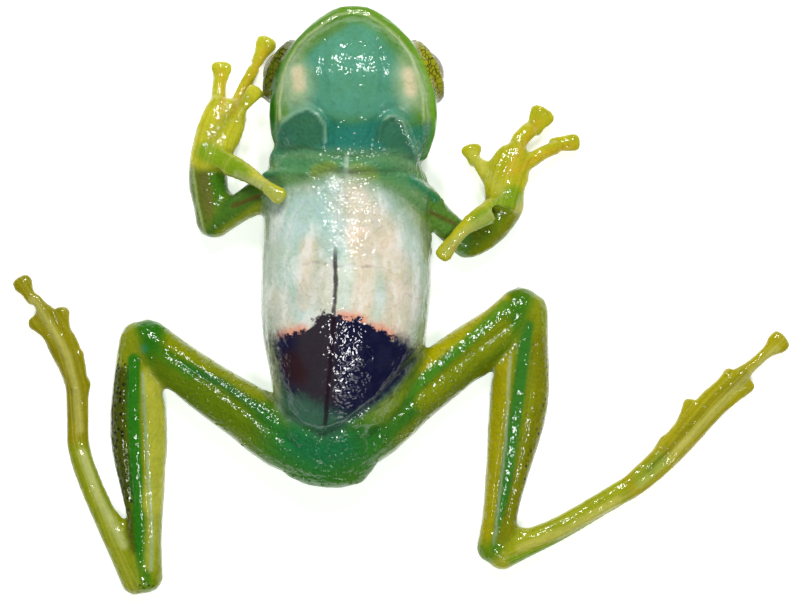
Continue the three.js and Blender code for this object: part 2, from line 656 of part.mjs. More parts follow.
function buildArm(side) {
  const arm = ARMS[side];
  const elbow = vector(arm.fore[0]);
  const elbowPlane = bend(vector(arm.upper.at(-2)), elbow, vector(arm.fore[1]));
  const upperForm = loft(arm.upper).add(loft(arm.spine, { sides: 8, end: SMALL_END }));
  const foreForm = loft(arm.fore);
  const atElbow = parted(upperForm.add(foreForm), elbow, elbowPlane);
  addNode(`upper_arm_${side}`, atElbow.near.subtract(trunkForm(GAP)), "green_skin");

  const wrist = vector(arm.palm[0]);
  const wristPlane = vector(arm.palm[1]).sub(vector(arm.fore.at(-2))).normalize();
  const palmForm = union([
    loft(arm.palm, { power: 2.2 }),
    loft(arm.wristBulge, { sides: 8, steps: 1, end: SMALL_END }),
    foreForm,
  ]);
  const digits = [1, 2, 3, 4].map((n) => digit(arm.fingers[n], arm.discs[n], arm.fingerRoots[n]));
  const palm = union([palmForm, ...digits.map((d) => d.near)])
    .intersect(ahead(wrist, wristPlane, GAP / 2))
    .subtract(union(digits.map((d) => d.room)));
  const forearm = parted(atElbow.far, wrist, wristPlane).near.subtract(digits[0].room);
  addNode(`forearm_${side}`, forearm, "green_skin");
  addNode(`hand_${side}`, palm, "yellow_skin");
  digits.forEach((d, i) => addNode(`finger_${i + 1}_${side}`, d.far, "yellow_skin"));
}

function buildLeg(side) {
  const leg = LEGS[side];
  const thighLoft = thighForm(side);
  const shankLoft = loft(leg.shank, { sides: 14, power: 2.1 });
  const tarsusLoft = loft(leg.tarsus);
  const hip = HIPS[side];
  const knee = vector(leg.shank[0]);
  const kneePlane = bend(vector(leg.thigh.at(-2)), knee, vector(leg.shank[1]));
  const atKnee = parted(thighLoft.add(shankLoft), knee, kneePlane);
  const thigh = atKnee.near
    .add(trunkForm().intersect(rearward(BELLY_REAR_Y - GAP / 2)))
    .intersect(ahead(hip.at, hip.out, GAP / 2))
    .subtract(trunkForm(GAP).intersect(forward(BELLY_REAR_Y - GAP / 2)));
  addNode(`thigh_${side}`, thigh, "green_skin");

  const ankle = vector(leg.tarsus[0]);
  const anklePlane = bend(vector(leg.shank.at(-2)), ankle, vector(leg.tarsus[1]));
  const atAnkle = parted(atKnee.far.add(tarsusLoft), ankle, anklePlane);
  addNode(`shank_${side}`, atAnkle.near, "green_skin");

  const footStart = vector(leg.foot[0]);
  const footPlane = bend(vector(leg.tarsus.at(-2)), footStart, vector(leg.foot[1]));
  const lowerLeg = parted(tarsusLoft.add(shankLoft), ankle, anklePlane).far;
  addNode(`tarsus_${side}`, parted(lowerLeg, footStart, footPlane).near, "yellow_skin");

  const toe4 = digit(leg.toe4, leg.toe4Disc, leg.toe4Root);
  const toes = leg.toes.map((stations) => loft(stations, { sides: DIGIT_SIDES, steps: 1, end: SMALL_END }));
  const sole = union([loft(leg.foot, { power: 2.4 }), tarsusLoft, toe4.near, ...toes]);
  const foot = parted(sole, footStart, footPlane).far.subtract(toe4.room);
  addNode(`foot_${side}`, foot, "yellow_skin");
  addNode(`toe_4_${side}`, toe4.far, "yellow_skin");
}

buildHead();
buildTrunk();
for (const side of ["right", "left"]) {
  buildArm(side);
  buildLeg(side);
}

// The surface of a solid with its corners on a fine grid, so that no sliver is left from a cut.
function snappedSurface(solid) {
  const made = solid.getMesh();
  const corners = [];
  const known = new Map();
  const cornerOf = [];
  for (let i = 0; i < made.vertProperties.length; i += 3) {
    const steps = [0, 1, 2].map((k) => Math.round(made.vertProperties[i + k] / SNAP));
    const key = steps.join(" ");
    if (!known.has(key)) {
      known.set(key, known.size);
      corners.push(...steps.map((n) => n * SNAP));
    }
    cornerOf.push(known.get(key));
  }
  const kept = new Map();
  for (let i = 0; i < made.triVerts.length; i += 3) {
    const face = [0, 1, 2].map((k) => cornerOf[made.triVerts[i + k]]);
    const key = [...face].sort((a, b) => a - b).join(" ");
    if (new Set(face).size < 3) {
      continue;
    }
    if (kept.has(key)) {
      kept.delete(key);
    } else {
      kept.set(key, face);
    }
  }
  return { corners, faces: withoutNeedles(corners, [...kept.values()]).flat() };
}

// Turns the long edge of every needle-thin face, so that the face and its neighbour share it the
// other way. The surface moves by less than the needle's own height.
function withoutNeedles(corners, faces) {
  const place = (i) => new THREE.Vector3(corners[3 * i], corners[3 * i + 1], corners[3 * i + 2]);
  for (let pass = 0; pass < NEEDLE_PASSES; pass++) {
    const edges = new Map();
    faces.forEach((face, n) => face.forEach((a, k) => edges.set(`${a} ${face[(k + 1) % 3]}`, n)));
    const touched = new Set();
    faces.forEach((face, n) => {
      const [a, b, c] = fromLongestEdge(face, place);
      const other = edges.get(`${b} ${a}`);
      const height = heightOver(place(a), place(b), place(c));
      if (height > NEEDLE_HEIGHT || other === undefined || touched.has(n) || touched.has(other)) {
        return;
      }
      const d = faces[other].find((corner) => corner !== a && corner !== b);
      if (edges.has(`${c} ${d}`) || edges.has(`${d} ${c}`)) {
        return;
      }
      faces[n] = [a, d, c];
      faces[other] = [d, b, c];
      edges.set(`${c} ${d}`, n);
      touched.add(n).add(other);
    });
    if (touched.size === 0) {
      break;
    }
  }
  return faces;
}

// A face's corners in order, starting where its longest edge starts.
function fromLongestEdge(face, place) {
  const lengths = face.map((a, k) => place(a).distanceTo(place(face[(k + 1) % 3])));
  const start = lengths.indexOf(Math.max(...lengths));
  return [0, 1, 2].map((k) => face[(start + k) % 3]);
}

function heightOver(a, b, c) {
  const edge = b.clone().sub(a);
  return edge.clone().cross(c.clone().sub(a)).length() / edge.length();
}

// Each node as a mesh, in a group whose origin is the middle of the footprint on the floor.
function meshOf(name, solid, material) {
  const { corners, faces } = snappedSurface(solid);
  const geometry = new THREE.BufferGeometry();
  geometry.setAttribute("position", new THREE.BufferAttribute(new Float32Array(corners), 3));
  geometry.setIndex(faces);
  geometry.computeVertexNormals();
  const mesh = new THREE.Mesh(geometry, new THREE.MeshStandardMaterial(MATERIALS[material]));
  mesh.name = name;
  return mesh;
}

const frog = new THREE.Group();
frog.name = "glass_frog";
for (const [name, { solid, material }] of nodes) {
  frog.add(meshOf(name, solid, material));
}
const bounds = new THREE.Box3().setFromObject(frog);
const middle = bounds.getCenter(new THREE.Vector3());
frog.position.set(-middle.x, -middle.y, -bounds.min.z);

export default frog;
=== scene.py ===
import math

import bmesh
import bpy
import numpy as np
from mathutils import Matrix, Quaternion, Vector
from mathutils.bvhtree import BVHTree


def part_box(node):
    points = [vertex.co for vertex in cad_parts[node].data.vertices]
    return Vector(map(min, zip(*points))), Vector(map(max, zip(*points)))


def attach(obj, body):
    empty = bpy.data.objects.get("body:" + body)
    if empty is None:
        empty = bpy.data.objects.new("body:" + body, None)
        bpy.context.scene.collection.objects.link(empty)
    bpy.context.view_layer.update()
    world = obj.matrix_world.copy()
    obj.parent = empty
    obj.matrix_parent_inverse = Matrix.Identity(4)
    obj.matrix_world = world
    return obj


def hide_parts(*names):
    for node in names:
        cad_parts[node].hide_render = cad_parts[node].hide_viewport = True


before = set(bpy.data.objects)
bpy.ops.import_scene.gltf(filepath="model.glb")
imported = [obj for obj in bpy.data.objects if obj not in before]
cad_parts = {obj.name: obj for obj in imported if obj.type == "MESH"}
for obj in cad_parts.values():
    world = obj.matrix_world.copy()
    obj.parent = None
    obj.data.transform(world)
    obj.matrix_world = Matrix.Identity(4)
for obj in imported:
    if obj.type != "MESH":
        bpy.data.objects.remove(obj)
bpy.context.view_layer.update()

MM = 0.001

# The camera looks straight down, and its picture plane lies at the frog's middle height.
CAMERA_PLACE = (0.023, 0.017, 223.8)  # mm
PLANE_HEIGHT = 3.0  # mm above the floor
PIXEL = 0.055  # mm of the frog for one pixel of the picture, in that plane
PICTURE = (803, 602)
LENS = 180.0
SENSOR = 36.0

# Skin sizes, in mm.
SEAM_REACH = 0.42  # a neighbour's facing surface this near is a joint to close
SEAM_FACING = -0.5  # product of the two normals where the surfaces face each other
SEAM_PUSH = 0.2
SKIN_STEP = 0.13  # edge of a skin face
SMOOTH_PASSES = 70
SMOOTH_IN, SMOOTH_OUT = 0.5, -0.53
DIGIT_PASSES = 16  # thin digits take fewer passes, so that their discs keep their size
BLEND_PASSES = 10  # how far one part's colour runs into the next, in skin steps

# Eyes, in mm. Each eye looks outwards, forwards and a little to the back of the frog.
EYE_RADIUS = 1.46
EYE_TURN = (0.86, 0.4, -0.32)
LID_RING = (1.66, 0.24, 0.5)  # radius, thickness of its roll, distance out along the eye
LID_REACH = 2.12  # the lids' outside, from the eye's centre
LID_FADE = 0.12
IRIS_OPENING = 52  # degrees from the eye's axis to the edge of the iris
BALL_SHARE = 0.94  # radius of the ball inside the cornea, in eye radii
IRIS_RISE = 0.16  # how far the middle of the iris stands above its edge, in eye radii
CORNEA_SWELL, CORNEA_SPREAD = 0.035, 38  # its bulge in eye radii, and degrees that the bulge runs out
PUPIL = (0.62, 0.3)  # half width and half height
IRIS_RINGS, BALL_RINGS, CORNEA_RINGS = 9, 24, 30  # rows of faces from front to back

SIDES = ("right", "left")
FINGERS = (1, 2, 3, 4)
HEAD = ["head", "lower_jaw"]
TRUNK = ["neck", "chest", "belly", "pelvis"]


def srgb(code):
    """A colour as linear numbers, from its sRGB hex code."""
    parts = [int(code[i:i + 2], 16) / 255 for i in (1, 3, 5)]
    return [p / 12.92 if p <= 0.04045 else ((p + 0.055) / 1.055) ** 2.4 for p in parts]


def mesh_piece(name, points, faces):
    """A mesh object from points in metres, at the origin, with smooth faces."""
    mesh = bpy.data.meshes.new(name)
    mesh.from_pydata([tuple(p) for p in points], [], [tuple(f) for f in faces])
    mesh.shade_smooth()
    piece = bpy.data.objects.new(name, mesh)
    bpy.context.scene.collection.objects.link(piece)
    return piece


# The skin's shape

def flesh_names():
    return sorted(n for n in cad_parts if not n.startswith("eye_"))


def neighbours():
    """Pairs of nodes whose facing surfaces close up under one skin."""
    pairs = [("head", "lower_jaw"), ("head", "neck"), ("lower_jaw", "neck")]
    pairs += [("neck", "chest"), ("chest", "belly"), ("belly", "pelvis")]
    for side in SIDES:
        lengths = ("upper_arm", "forearm", "hand", "thigh", "shank", "tarsus", "foot", "toe_4")
        limb = {n: f"{n}_{side}" for n in lengths}
        pairs += [(trunk, limb["upper_arm"]) for trunk in ("neck", "chest", "belly")]
        pairs += [(trunk, limb["thigh"]) for trunk in ("belly", "pelvis")]
        pairs += [(limb["upper_arm"], limb["forearm"]), (limb["forearm"], limb["hand"])]
        pairs += [(limb["forearm"], f"finger_1_{side}")]
        pairs += [(limb["hand"], f"finger_{n}_{side}") for n in FINGERS]
        pairs += [(limb["thigh"], limb["shank"]), (limb["shank"], limb["tarsus"])]
        pairs += [(limb["tarsus"], limb["foot"]), (limb["foot"], limb["toe_4"])]
    return pairs


def merged_node(name):
    """A node's surface as points in mm and triangles that share their corners."""
    form = bmesh.new()
    form.from_mesh(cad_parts[name].data)
    bmesh.ops.remove_doubles(form, verts=form.verts, dist=1e-7)
    bmesh.ops.triangulate(form, faces=form.faces)
    form.verts.ensure_lookup_table()
    points = np.array([v.co for v in form.verts]) / MM
    faces = np.array([[v.index for v in f.verts] for f in form.faces])
    form.free()
    return points, faces


def closed_up(nodes):
    """Every node's points, with the surfaces at a joint pushed past each other."""
    trees = {n: BVHTree.FromPolygons(p.tolist(), f.tolist()) for n, (p, f) in nodes.items()}
    near = {n: [] for n in nodes}
    for a, b in neighbours():
        near[a].append(b)
        near[b].append(a)
    out = {}
    for name, (points, faces) in nodes.items():
        push = np.zeros_like(points)
        corners = points[faces]
        normals = np.cross(corners[:, 1] - corners[:, 0], corners[:, 2] - corners[:, 0])
        areas = np.linalg.norm(normals, axis=1, keepdims=True)
        normals = normals / np.maximum(areas, 1e-12)
        middles = corners.mean(axis=1)
        for face, middle, normal in zip(faces, middles, normals):
            for other in near[name]:
                _, facing, _, distance = trees[other].ray_cast(Vector(middle), Vector(normal), SEAM_REACH)
                if distance is not None and facing.dot(Vector(normal)) < SEAM_FACING:
                    push[face] += normal
                    break
        length = np.linalg.norm(push, axis=1, keepdims=True)
        push = np.where(length > 1e-9, push / np.maximum(length, 1e-9), 0) * SEAM_PUSH
        out[name] = points + push
    return out


def ring_tube(centre, axis, radius, thick, turns=40, sides=10):
    """A closed ring round an axis."""
    axis = Vector(axis).normalized()
    across = axis.cross(Vector((0, 0, 1))).normalized()
    along = axis.cross(across)
    points, faces = [], []
    for i in range(turns):
        a = 2 * math.pi * i / turns
        out = across * math.cos(a) + along * math.sin(a)
        for j in range(sides):
            b = 2 * math.pi * j / sides
            points.append(Vector(centre) + out * (radius + thick * math.cos(b)) + axis * (thick * math.sin(b)))
            k, m = (i + 1) % turns, (j + 1) % sides
            faces.append((i * sides + j, k * sides + j, k * sides + m, i * sides + m))
    return points, faces


def eye_centre(side):
    low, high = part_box(f"eye_{side}")
    return (low + high) / 2 / MM


def eye_axis(side):
    x, y, z = EYE_TURN
    return Vector((-x if side == "right" else x, y, z)).normalized()


def remeshed(points, faces):
    """One closed surface of even small faces round all the forms given, in mm."""
    rough = mesh_piece("rough_skin", points, faces)
    wrap = rough.modifiers.new("wrap", "REMESH")
    wrap.mode = "VOXEL"
    wrap.voxel_size = SKIN_STEP
    wrap.adaptivity = 0
    shaped = rough.evaluated_get(bpy.context.evaluated_depsgraph_get())
    mesh = bpy.data.meshes.new_from_object(shaped)
    made_points = np.empty(len(mesh.vertices) * 3)
    mesh.vertices.foreach_get("co", made_points)
    made_faces = [tuple(p.vertices) for p in mesh.polygons]
    bpy.data.objects.remove(rough)
    bpy.data.meshes.remove(mesh)
    return made_points.reshape(-1, 3), made_faces


def edges_of(faces):
    quads = np.array(faces)
    edges = np.concatenate([quads[:, [k, (k + 1) % quads.shape[1]]] for k in range(quads.shape[1])])
    return np.unique(np.sort(edges, axis=1), axis=0)


def averaged(values, edges):
    """Each point's mean over the points that it shares an edge with."""
    count = len(values)
    a, b = edges[:, 0], edges[:, 1]
    shares = np.bincount(a, minlength=count) + np.bincount(b, minlength=count)
    out = np.empty_like(values)
    for k in range(values.shape[1]):
        out[:, k] = np.bincount(a, values[b, k], count) + np.bincount(b, values[a, k], count)
    return out / np.maximum(shares, 1)[:, None]


def smoothed(points, edges, slender):
    """Takes the flat facets off while the forms keep their thickness; slender is 1 on thin digits."""
    for number in range(SMOOTH_PASSES):
        share = 1.0 if number < DIGIT_PASSES else (1 - slender)[:, None]
        for step in (SMOOTH_IN, SMOOTH_OUT):
            points = points + step * share * (averaged(points, edges) - points)
    return points


def facing_out(points, faces):
    """Each point's normal, from the diagonals of the faces round it."""
    quads = np.array(faces)
    across = np.cross(points[quads[:, 2]] - points[quads[:, 0]], points[quads[:, 3]] - points[quads[:, 1]])
    normals = np.empty_like(points)
    for k in range(3):
        normals[:, k] = sum(np.bincount(quads[:, c], across[:, k], len(points)) for c in range(4))
    return normals / np.maximum(np.linalg.norm(normals, axis=1, keepdims=True), 1e-12)


# Folds, ridges and swellings: the nodes they are on, height in mm (less than 0 is a groove),
# half width in pixels of the picture, and the line that they follow there.
RELIEF = [
    (("neck", "lower_jaw"), 0.16, 3.2,
     [(279, 148), (279, 134), (285, 122), (297, 113), (309, 109), (319, 116), (325, 127), (325, 142)]),
    (("neck", "lower_jaw"), 0.16, 3.2,
     [(378, 138), (380, 126), (387, 117), (395, 115), (403, 121), (409, 135), (416, 152)]),
    (("neck", "lower_jaw"), -0.16, 4.0, [(330, 146), (330, 126), (322, 110), (308, 102), (292, 107)]),
    (("neck", "lower_jaw"), -0.16, 4.0, [(373, 140), (374, 122), (384, 110), (396, 108), (409, 117)]),
    (("neck", "chest"), -0.18, 3.4, [(280, 152), (300, 150), (320, 153), (350, 160), (380, 154), (412, 160)]),
    (("neck", "chest"), 0.12, 3.6, [(322, 160), (350, 167), (378, 161)]),
    (("lower_jaw",), -0.10, 3.0, [(326, 40), (322, 70), (330, 108)]),
    (("lower_jaw",), -0.10, 3.0, [(376, 40), (384, 70), (378, 106)]),
    (("lower_jaw",), -0.08, 2.6, [(352, 62), (352, 112)]),
    (("chest", "belly"), 0.22, 3.6, [(262, 176), (285, 171), (306, 172)]),
    (("chest", "belly"), -0.16, 3.6, [(264, 190), (280, 186), (300, 181), (320, 178)]),
    (("chest", "belly", "upper_arm_left"), 0.2, 3.6, [(398, 174), (418, 184), (436, 198)]),
    (("chest", "belly", "upper_arm_left"), -0.16, 3.4, [(388, 188), (405, 196), (424, 212)]),
    (("belly", "thigh_right", "pelvis"), -0.2, 3.6, [(268, 392), (284, 414), (302, 428), (322, 436)]),
    (("belly", "thigh_left", "pelvis"), -0.2, 3.6, [(424, 350), (402, 374), (376, 402), (346, 424), (322, 436)]),
    (("thigh_right", "pelvis"), -0.14, 3.4, [(166, 352), (210, 382), (262, 424), (296, 448)]),
    (("thigh_left", "pelvis"), -0.14, 3.4, [(516, 320), (462, 360), (408, 404), (368, 438)]),
    (("shank_right",), -0.16, 2.6, [(127, 366), (125, 410), (127, 450), (132, 505)]),
    (("shank_right",), -0.14, 2.6, [(142, 362), (142, 410), (145, 470), (149, 540)]),
    (("shank_left",), -0.16, 2.6, [(518, 350), (508, 410), (501, 460), (493, 530)]),
    (("shank_left",), -0.14, 2.6, [(535, 345), (530, 400), (519, 460), (506, 520)]),
    (("tarsus_right",), -0.08, 2.2, [(118, 544), (96, 500), (82, 455)]),
    (("tarsus_left",), -0.08, 2.2, [(512, 556), (560, 540), (618, 508)]),
    (("foot_right", "tarsus_right"), -0.1, 2.0, [(77, 430), (72, 395), (66, 365), (50, 335)]),
    (("foot_left", "tarsus_left"), -0.1, 2.0, [(642, 478), (678, 444), (712, 408), (744, 378)]),
    (("hand_right",), -0.12, 2.6, [(226, 118), (222, 134), (212, 146)]),
    (("hand_left",), -0.12, 2.6, [(506, 164), (500, 184), (494, 200)]),
    (("upper_arm_right",), -0.12, 2.4, [(233, 207), (262, 196)]),
    (("upper_arm_left",), -0.12, 2.4, [(404, 199), (430, 213), (452, 224)]),
]


def with_relief(points, faces, parts):
    """Draws the folds and ridges of RELIEF into the belly side of the skin."""
    normals = facing_out(points, faces)
    places = pixel_of(points)
    height = np.zeros(len(points))
    for nodes, rise, half, line in RELIEF:
        share = np.exp(-(to_line(places, line) / half) ** 2)
        height += rise * share * np.clip(sum(parts[n] for n in nodes), 0, 1) * ramp(normals[:, 2], 0.0, 0.35)
    return points + normals * height[:, None]


# The marks of the skin, painted from what the picture shows at each place

def pixel_of(points):
    """Where each point of the skin, in mm, lies in the picture."""
    depth = CAMERA_PLACE[2] - points[:, 2]
    nearer = (CAMERA_PLACE[2] - PLANE_HEIGHT) / depth
    u = PICTURE[0] / 2 + (points[:, 0] - CAMERA_PLACE[0]) / PIXEL * nearer
    v = PICTURE[1] / 2 - (points[:, 1] - CAMERA_PLACE[1]) / PIXEL * nearer
    return np.stack([u, v], axis=1)


def to_line(places, line):
    """Distance in pixels from each place to a line of points."""
    nearest = np.full(len(places), 1e9)
    line = np.array(line, float)
    if len(line) == 1:
        return np.linalg.norm(places - line[0], axis=1)
    for start, end in zip(line[:-1], line[1:]):
        way = end - start
        share = np.clip(((places - start) @ way) / max(way @ way, 1e-9), 0, 1)
        nearest = np.minimum(nearest, np.linalg.norm(places - (start + share[:, None] * way), axis=1))
    return nearest


def to_outline(places, outline):
    """Distance in pixels to a closed outline, negative inside it."""
    outline = np.array(outline, float)
    inside = np.zeros(len(places), bool)
    for (x0, y0), (x1, y1) in zip(outline, np.roll(outline, -1, axis=0)):
        if y0 == y1:
            continue
        crosses = (places[:, 1] > min(y0, y1)) & (places[:, 1] <= max(y0, y1))
        at = x0 + (places[:, 1] - y0) * (x1 - x0) / (y1 - y0)
        inside ^= crosses & (places[:, 0] < at)
    distance = to_line(places, np.vstack([outline, outline[:1]]))
    return np.where(inside, -distance, distance)


def ramp(value, low, high):
    """0 at low, 1 at high, smooth between; high may be the lower number."""
    share = np.clip((value - low) / (high - low), 0, 1)
    return share * share * (3 - 2 * share)


class Paint:
    """The skin's colour at each of its points, laid on in washes."""

    def __init__(self, points, normals, parts):
        self.places = pixel_of(points)
        self.facing = normals[:, 2]
        self.parts = parts
        self.colour = np.tile(np.array(srgb("#7f9a20")), (len(points), 1))

    def on(self, names):
        return sum(self.parts[n] for n in names)

    def lay(self, amount, code):
        amount = np.clip(amount, 0, 1)[:, None]
        self.colour = self.colour * (1 - amount) + np.array(srgb(code)) * amount

    def part(self, names, code, amount=1.0):
        self.lay(self.on(names) * amount, code)

    def line(self, names, code, line, half, soft, amount=1.0):
        self.lay(ramp(to_line(self.places, line), half + soft, half) * self.on(names) * amount, code)

    def lines(self, names, *rows):
        """Several lines in turn, each with its colour, place, half width, softness and strength."""
        for code, line, half, soft, amount in rows:
            self.line(names, code, line, half, soft, amount)

    def pool(self, names, code, outline, soft, amount=1.0):
        self.lay(ramp(to_outline(self.places, outline), soft / 2, -soft / 2) * self.on(names) * amount, code)


# Outlines and lines of the picture, in its pixels.
THROAT = [(322, 25), (336, 15), (352, 12), (368, 15), (384, 25), (398, 38), (410, 54), (418, 74), (423, 98),
          (424, 122), (414, 126), (385, 118), (352, 128), (318, 118), (290, 124), (281, 126), (279, 104),
          (282, 82), (288, 62), (297, 46), (308, 35)]
LIP = [(281, 126), (279, 104), (282, 82), (288, 62), (297, 46), (308, 35), (322, 25), (336, 15),
       (352, 12), (368, 15), (384, 25), (398, 38), (410, 54), (418, 74), (423, 98), (424, 122)]
HEAD_OUTLINE = [(350, 6), (330, 12), (314, 22), (302, 32), (294, 42), (286, 53), (280, 63), (275, 74), (271, 87),
                (269, 100), (268, 130), (276, 160), (424, 160), (437, 128), (437, 112), (435, 98), (431, 82),
                (426, 67), (419, 52), (412, 42), (402, 31), (390, 21), (378, 13), (362, 7)]
PEACH_RIGHT = [(300, 60), (309, 72), (311, 88), (305, 104), (292, 106), (284, 98), (283, 80), (290, 66)]
PEACH_LEFT = [(402, 60), (412, 66), (420, 80), (423, 94), (420, 106), (406, 106), (399, 92), (397, 74)]
POUCH_RIGHT = [(277, 150), (277, 135), (283, 122), (295, 113), (308, 108), (318, 115), (325, 125), (325, 142),
               (310, 148), (290, 152)]
POUCH_LEFT = [(375, 140), (378, 125), (385, 118), (393, 115), (402, 120), (408, 135), (415, 150), (417, 160),
              (400, 152), (385, 148)]
NECK_DEEP = [(322, 116), (352, 126), (384, 116), (388, 148), (376, 166), (352, 160), (330, 166), (318, 148)]
CHEST_GREEN = [(278, 154), (300, 150), (350, 150), (400, 152), (418, 162), (433, 187), (441, 204), (415, 214),
               (398, 196), (385, 188), (350, 176), (320, 180), (290, 192), (262, 214), (250, 190), (262, 170)]
BELLY = [(263, 214), (274, 200), (290, 189), (306, 182), (320, 178), (336, 172), (350, 172), (368, 180),
         (385, 189), (400, 199), (415, 213), (431, 238), (432, 280), (430, 310), (425, 342), (408, 368),
         (390, 388), (375, 400), (360, 412), (345, 422), (330, 434), (315, 434), (298, 427), (284, 415),
         (270, 398), (264, 370), (260, 330), (259, 290), (261, 250)]
GUT = [(273, 341), (281, 338), (290, 335), (300, 331), (311, 328), (315, 320), (322, 312), (334, 314), (345, 318),
       (360, 320), (372, 325), (382, 331), (395, 338), (405, 343), (412, 350), (413, 360), (404, 373), (394, 384),
       (384, 394), (372, 402), (360, 408), (350, 412), (340, 411), (328, 404), (314, 396), (298, 392), (288, 388),
       (281, 376), (276, 356)]
GUT_REAR = [(283, 366), (300, 372), (325, 380), (350, 384), (376, 372), (402, 346), (415, 354), (398, 383),
            (375, 404), (351, 422), (334, 438), (318, 438), (300, 430), (285, 414), (280, 390)]
MIDLINE = [(347, 158), (338, 196), (336, 240), (335, 262), (336, 285), (334, 308), (333, 330),
           (330, 370), (327, 400), (325, 428)]


# The middle lines that the fine fibres of the tarsi, the feet and the hands run along
FIBRES = [
    (["tarsus_right"], [(146, 616), (112, 540), (96, 496), (80, 450), (76, 410)]),
    (["foot_right", "toe_4_right"], [(82, 480), (78, 450), (74, 390), (60, 340), (30, 292), (12, 262)]),
    (["tarsus_left"], [(460, 578), (512, 556), (565, 532), (620, 500), (660, 476)]),
    (["foot_left", "toe_4_left"], [(590, 520), (630, 494), (672, 460), (716, 406), (776, 346), (806, 316)]),
    (["hand_right"], [(198, 200), (216, 130), (240, 80)]),
    (["hand_left"], [(490, 240), (508, 175), (528, 125)]),
]


def paint_head(paint):
    """A green rim of the upper jaw, a pale lip, and the clear teal throat inside it."""
    head = HEAD
    across, along = paint.places[:, 0], paint.places[:, 1]
    paint.part(head, "#6f9c2c")
    rim = to_outline(paint.places, THROAT)
    paint.lay(ramp(rim, 1, 7) * paint.on(head) * ramp(across, 350, 320) * ramp(along, 30, 75), "#205f04")
    paint.lay(ramp(rim, 3, 9) * paint.on(head) * ramp(across, 350, 400) * ramp(along, 30, 70), "#77aa2c")
    paint.lay(ramp(rim, 9, 14) * paint.on(head) * ramp(across, 380, 420), "#4c8a12")
    inside = ramp(rim, 3, -3) * paint.on(head)
    lip = to_line(paint.places, LIP)
    paint.lay(inside, "#5c8f34")
    paint.lay(inside * ramp(lip, 3, 19), "#549a80")
    paint.pool(head, "#62a88c", [(330, 30), (372, 30), (380, 60), (378, 100), (328, 100), (324, 60)], 26, 0.6)
    paint.line(head, "#5f8a3a", [(292, 56), (300, 44), (318, 30), (336, 22)], 5, 11, 0.8)
    paint.pool(head, "#a9c29a", PEACH_RIGHT, 26, 1.0)
    paint.pool(head, "#b4c89e", PEACH_LEFT, 26, 1.0)
    paint.lines(head,
        ("#e8d8b6", [(298, 72), (299, 86)], 1.5, 9, 0.85),
        ("#e8d8b6", [(409, 74), (411, 90)], 1.5, 9, 0.85),
        ("#c4d79a", LIP, 0.3, 1.8, 0.6))


def paint_neck_and_chest(paint):
    """Teal neck, the two pouches behind the jaw, and the green chest with the breastbone's pale wedge."""
    paint.part(["neck"], "#2f8062")
    paint.pool(["neck", "lower_jaw", "chest"], "#2a8070", NECK_DEEP, 12)
    for pouch in (POUCH_RIGHT, POUCH_LEFT):
        paint.pool(["neck", "lower_jaw", "head"], "#3a745a", pouch, 8, 0.9)
        paint.line(["neck", "lower_jaw"], "#8fb9a0", pouch[2:8], 0.4, 2.2, 0.6)
    paint.part(["chest"], "#5c8a34")
    paint.pool(["chest", "neck"], "#6f9a66", CHEST_GREEN, 14, 0.8)
    breast = [(285, 166), (318, 168), (350, 164), (385, 170), (415, 182)]
    paint.line(["chest", "neck", "belly"], "#3f9468", breast, 3, 10, 0.45)
    paint.lines(["chest", "neck"],
        ("#9aa83a", [(318, 172), (330, 169)], 4, 8, 0.6),
        ("#9aa83a", [(356, 170), (370, 174)], 4, 8, 0.5))


def paint_belly(paint, edge):
    """White lining with peach patches under clear skin; edge is the distance to the belly's outline."""
    front = ramp(paint.places[:, 1], 235, 185)
    left = ramp(paint.places[:, 0], 395, 425)
    paint.lay(ramp(edge, 6, -8 - 12 * front) * paint.on(TRUNK), "#dce7dc")
    # Painted shade: a darker grey-green band just inside the belly's outline, stronger towards the rear, where the
    # belly curves away
    paint.lay(ramp(edge, -30, -5) * ramp(edge, 8, -2) * paint.on(TRUNK) * (0.7 - 0.3 * front), "#92a78e")
    paint.lay(ramp(edge, -16, -3) * ramp(edge, 8, -2) * paint.on(TRUNK) * left * 0.5, "#8aa054")
    paint.lines(["belly", "chest"],
        ("#a9cfcd", [(300, 215), (310, 260), (300, 300)], 10, 26, 0.6),
        ("#a9cfcd", [(375, 215), (392, 250), (400, 300)], 12, 26, 0.55),
        ("#ecd3bd", [(352, 205), (380, 235)], 10, 22, 0.7),
        ("#ecd3bd", [(395, 262), (405, 300), (396, 326)], 6, 20, 0.6),
        ("#ecd3bd", [(318, 248), (322, 290)], 6, 18, 0.5),
        ("#ecd3bd", [(280, 300), (285, 325)], 5, 14, 0.4),
        ("#a3cfd0", [(328, 195), (334, 245)], 8, 18, 0.5))
    paint.lines(["belly"],
        ("#f0d8c0", [(308, 245), (303, 275), (304, 305)], 2, 10, 0.6),
        ("#f4dac2", [(356, 236), (366, 270), (362, 312)], 4, 14, 0.7),
        ("#f0dcc6", [(384, 240), (396, 290), (392, 325)], 3, 14, 0.5),
        ("#8a7a70", [(302, 264), (318, 262), (335, 267), (352, 264), (376, 268)], 0.1, 1.2, 0.5))
    paint.line(["chest", "belly", "neck"], "#d5e6da", [(347, 156), (346, 172)], 0.6, 2.6, 0.6)

    # Behind the gut the wall is clear and grey-green
    paint.pool(TRUNK, "#3a6456", GUT_REAR, 14, 0.95)
    paint.lines(["belly", "pelvis"],
        ("#a4ad6c", [(270, 352), (276, 392)], 3, 8, 0.7),
        ("#7fa696", [(292, 402), (312, 418)], 4, 10, 0.4))
    paint.part(["pelvis"], "#54790a")


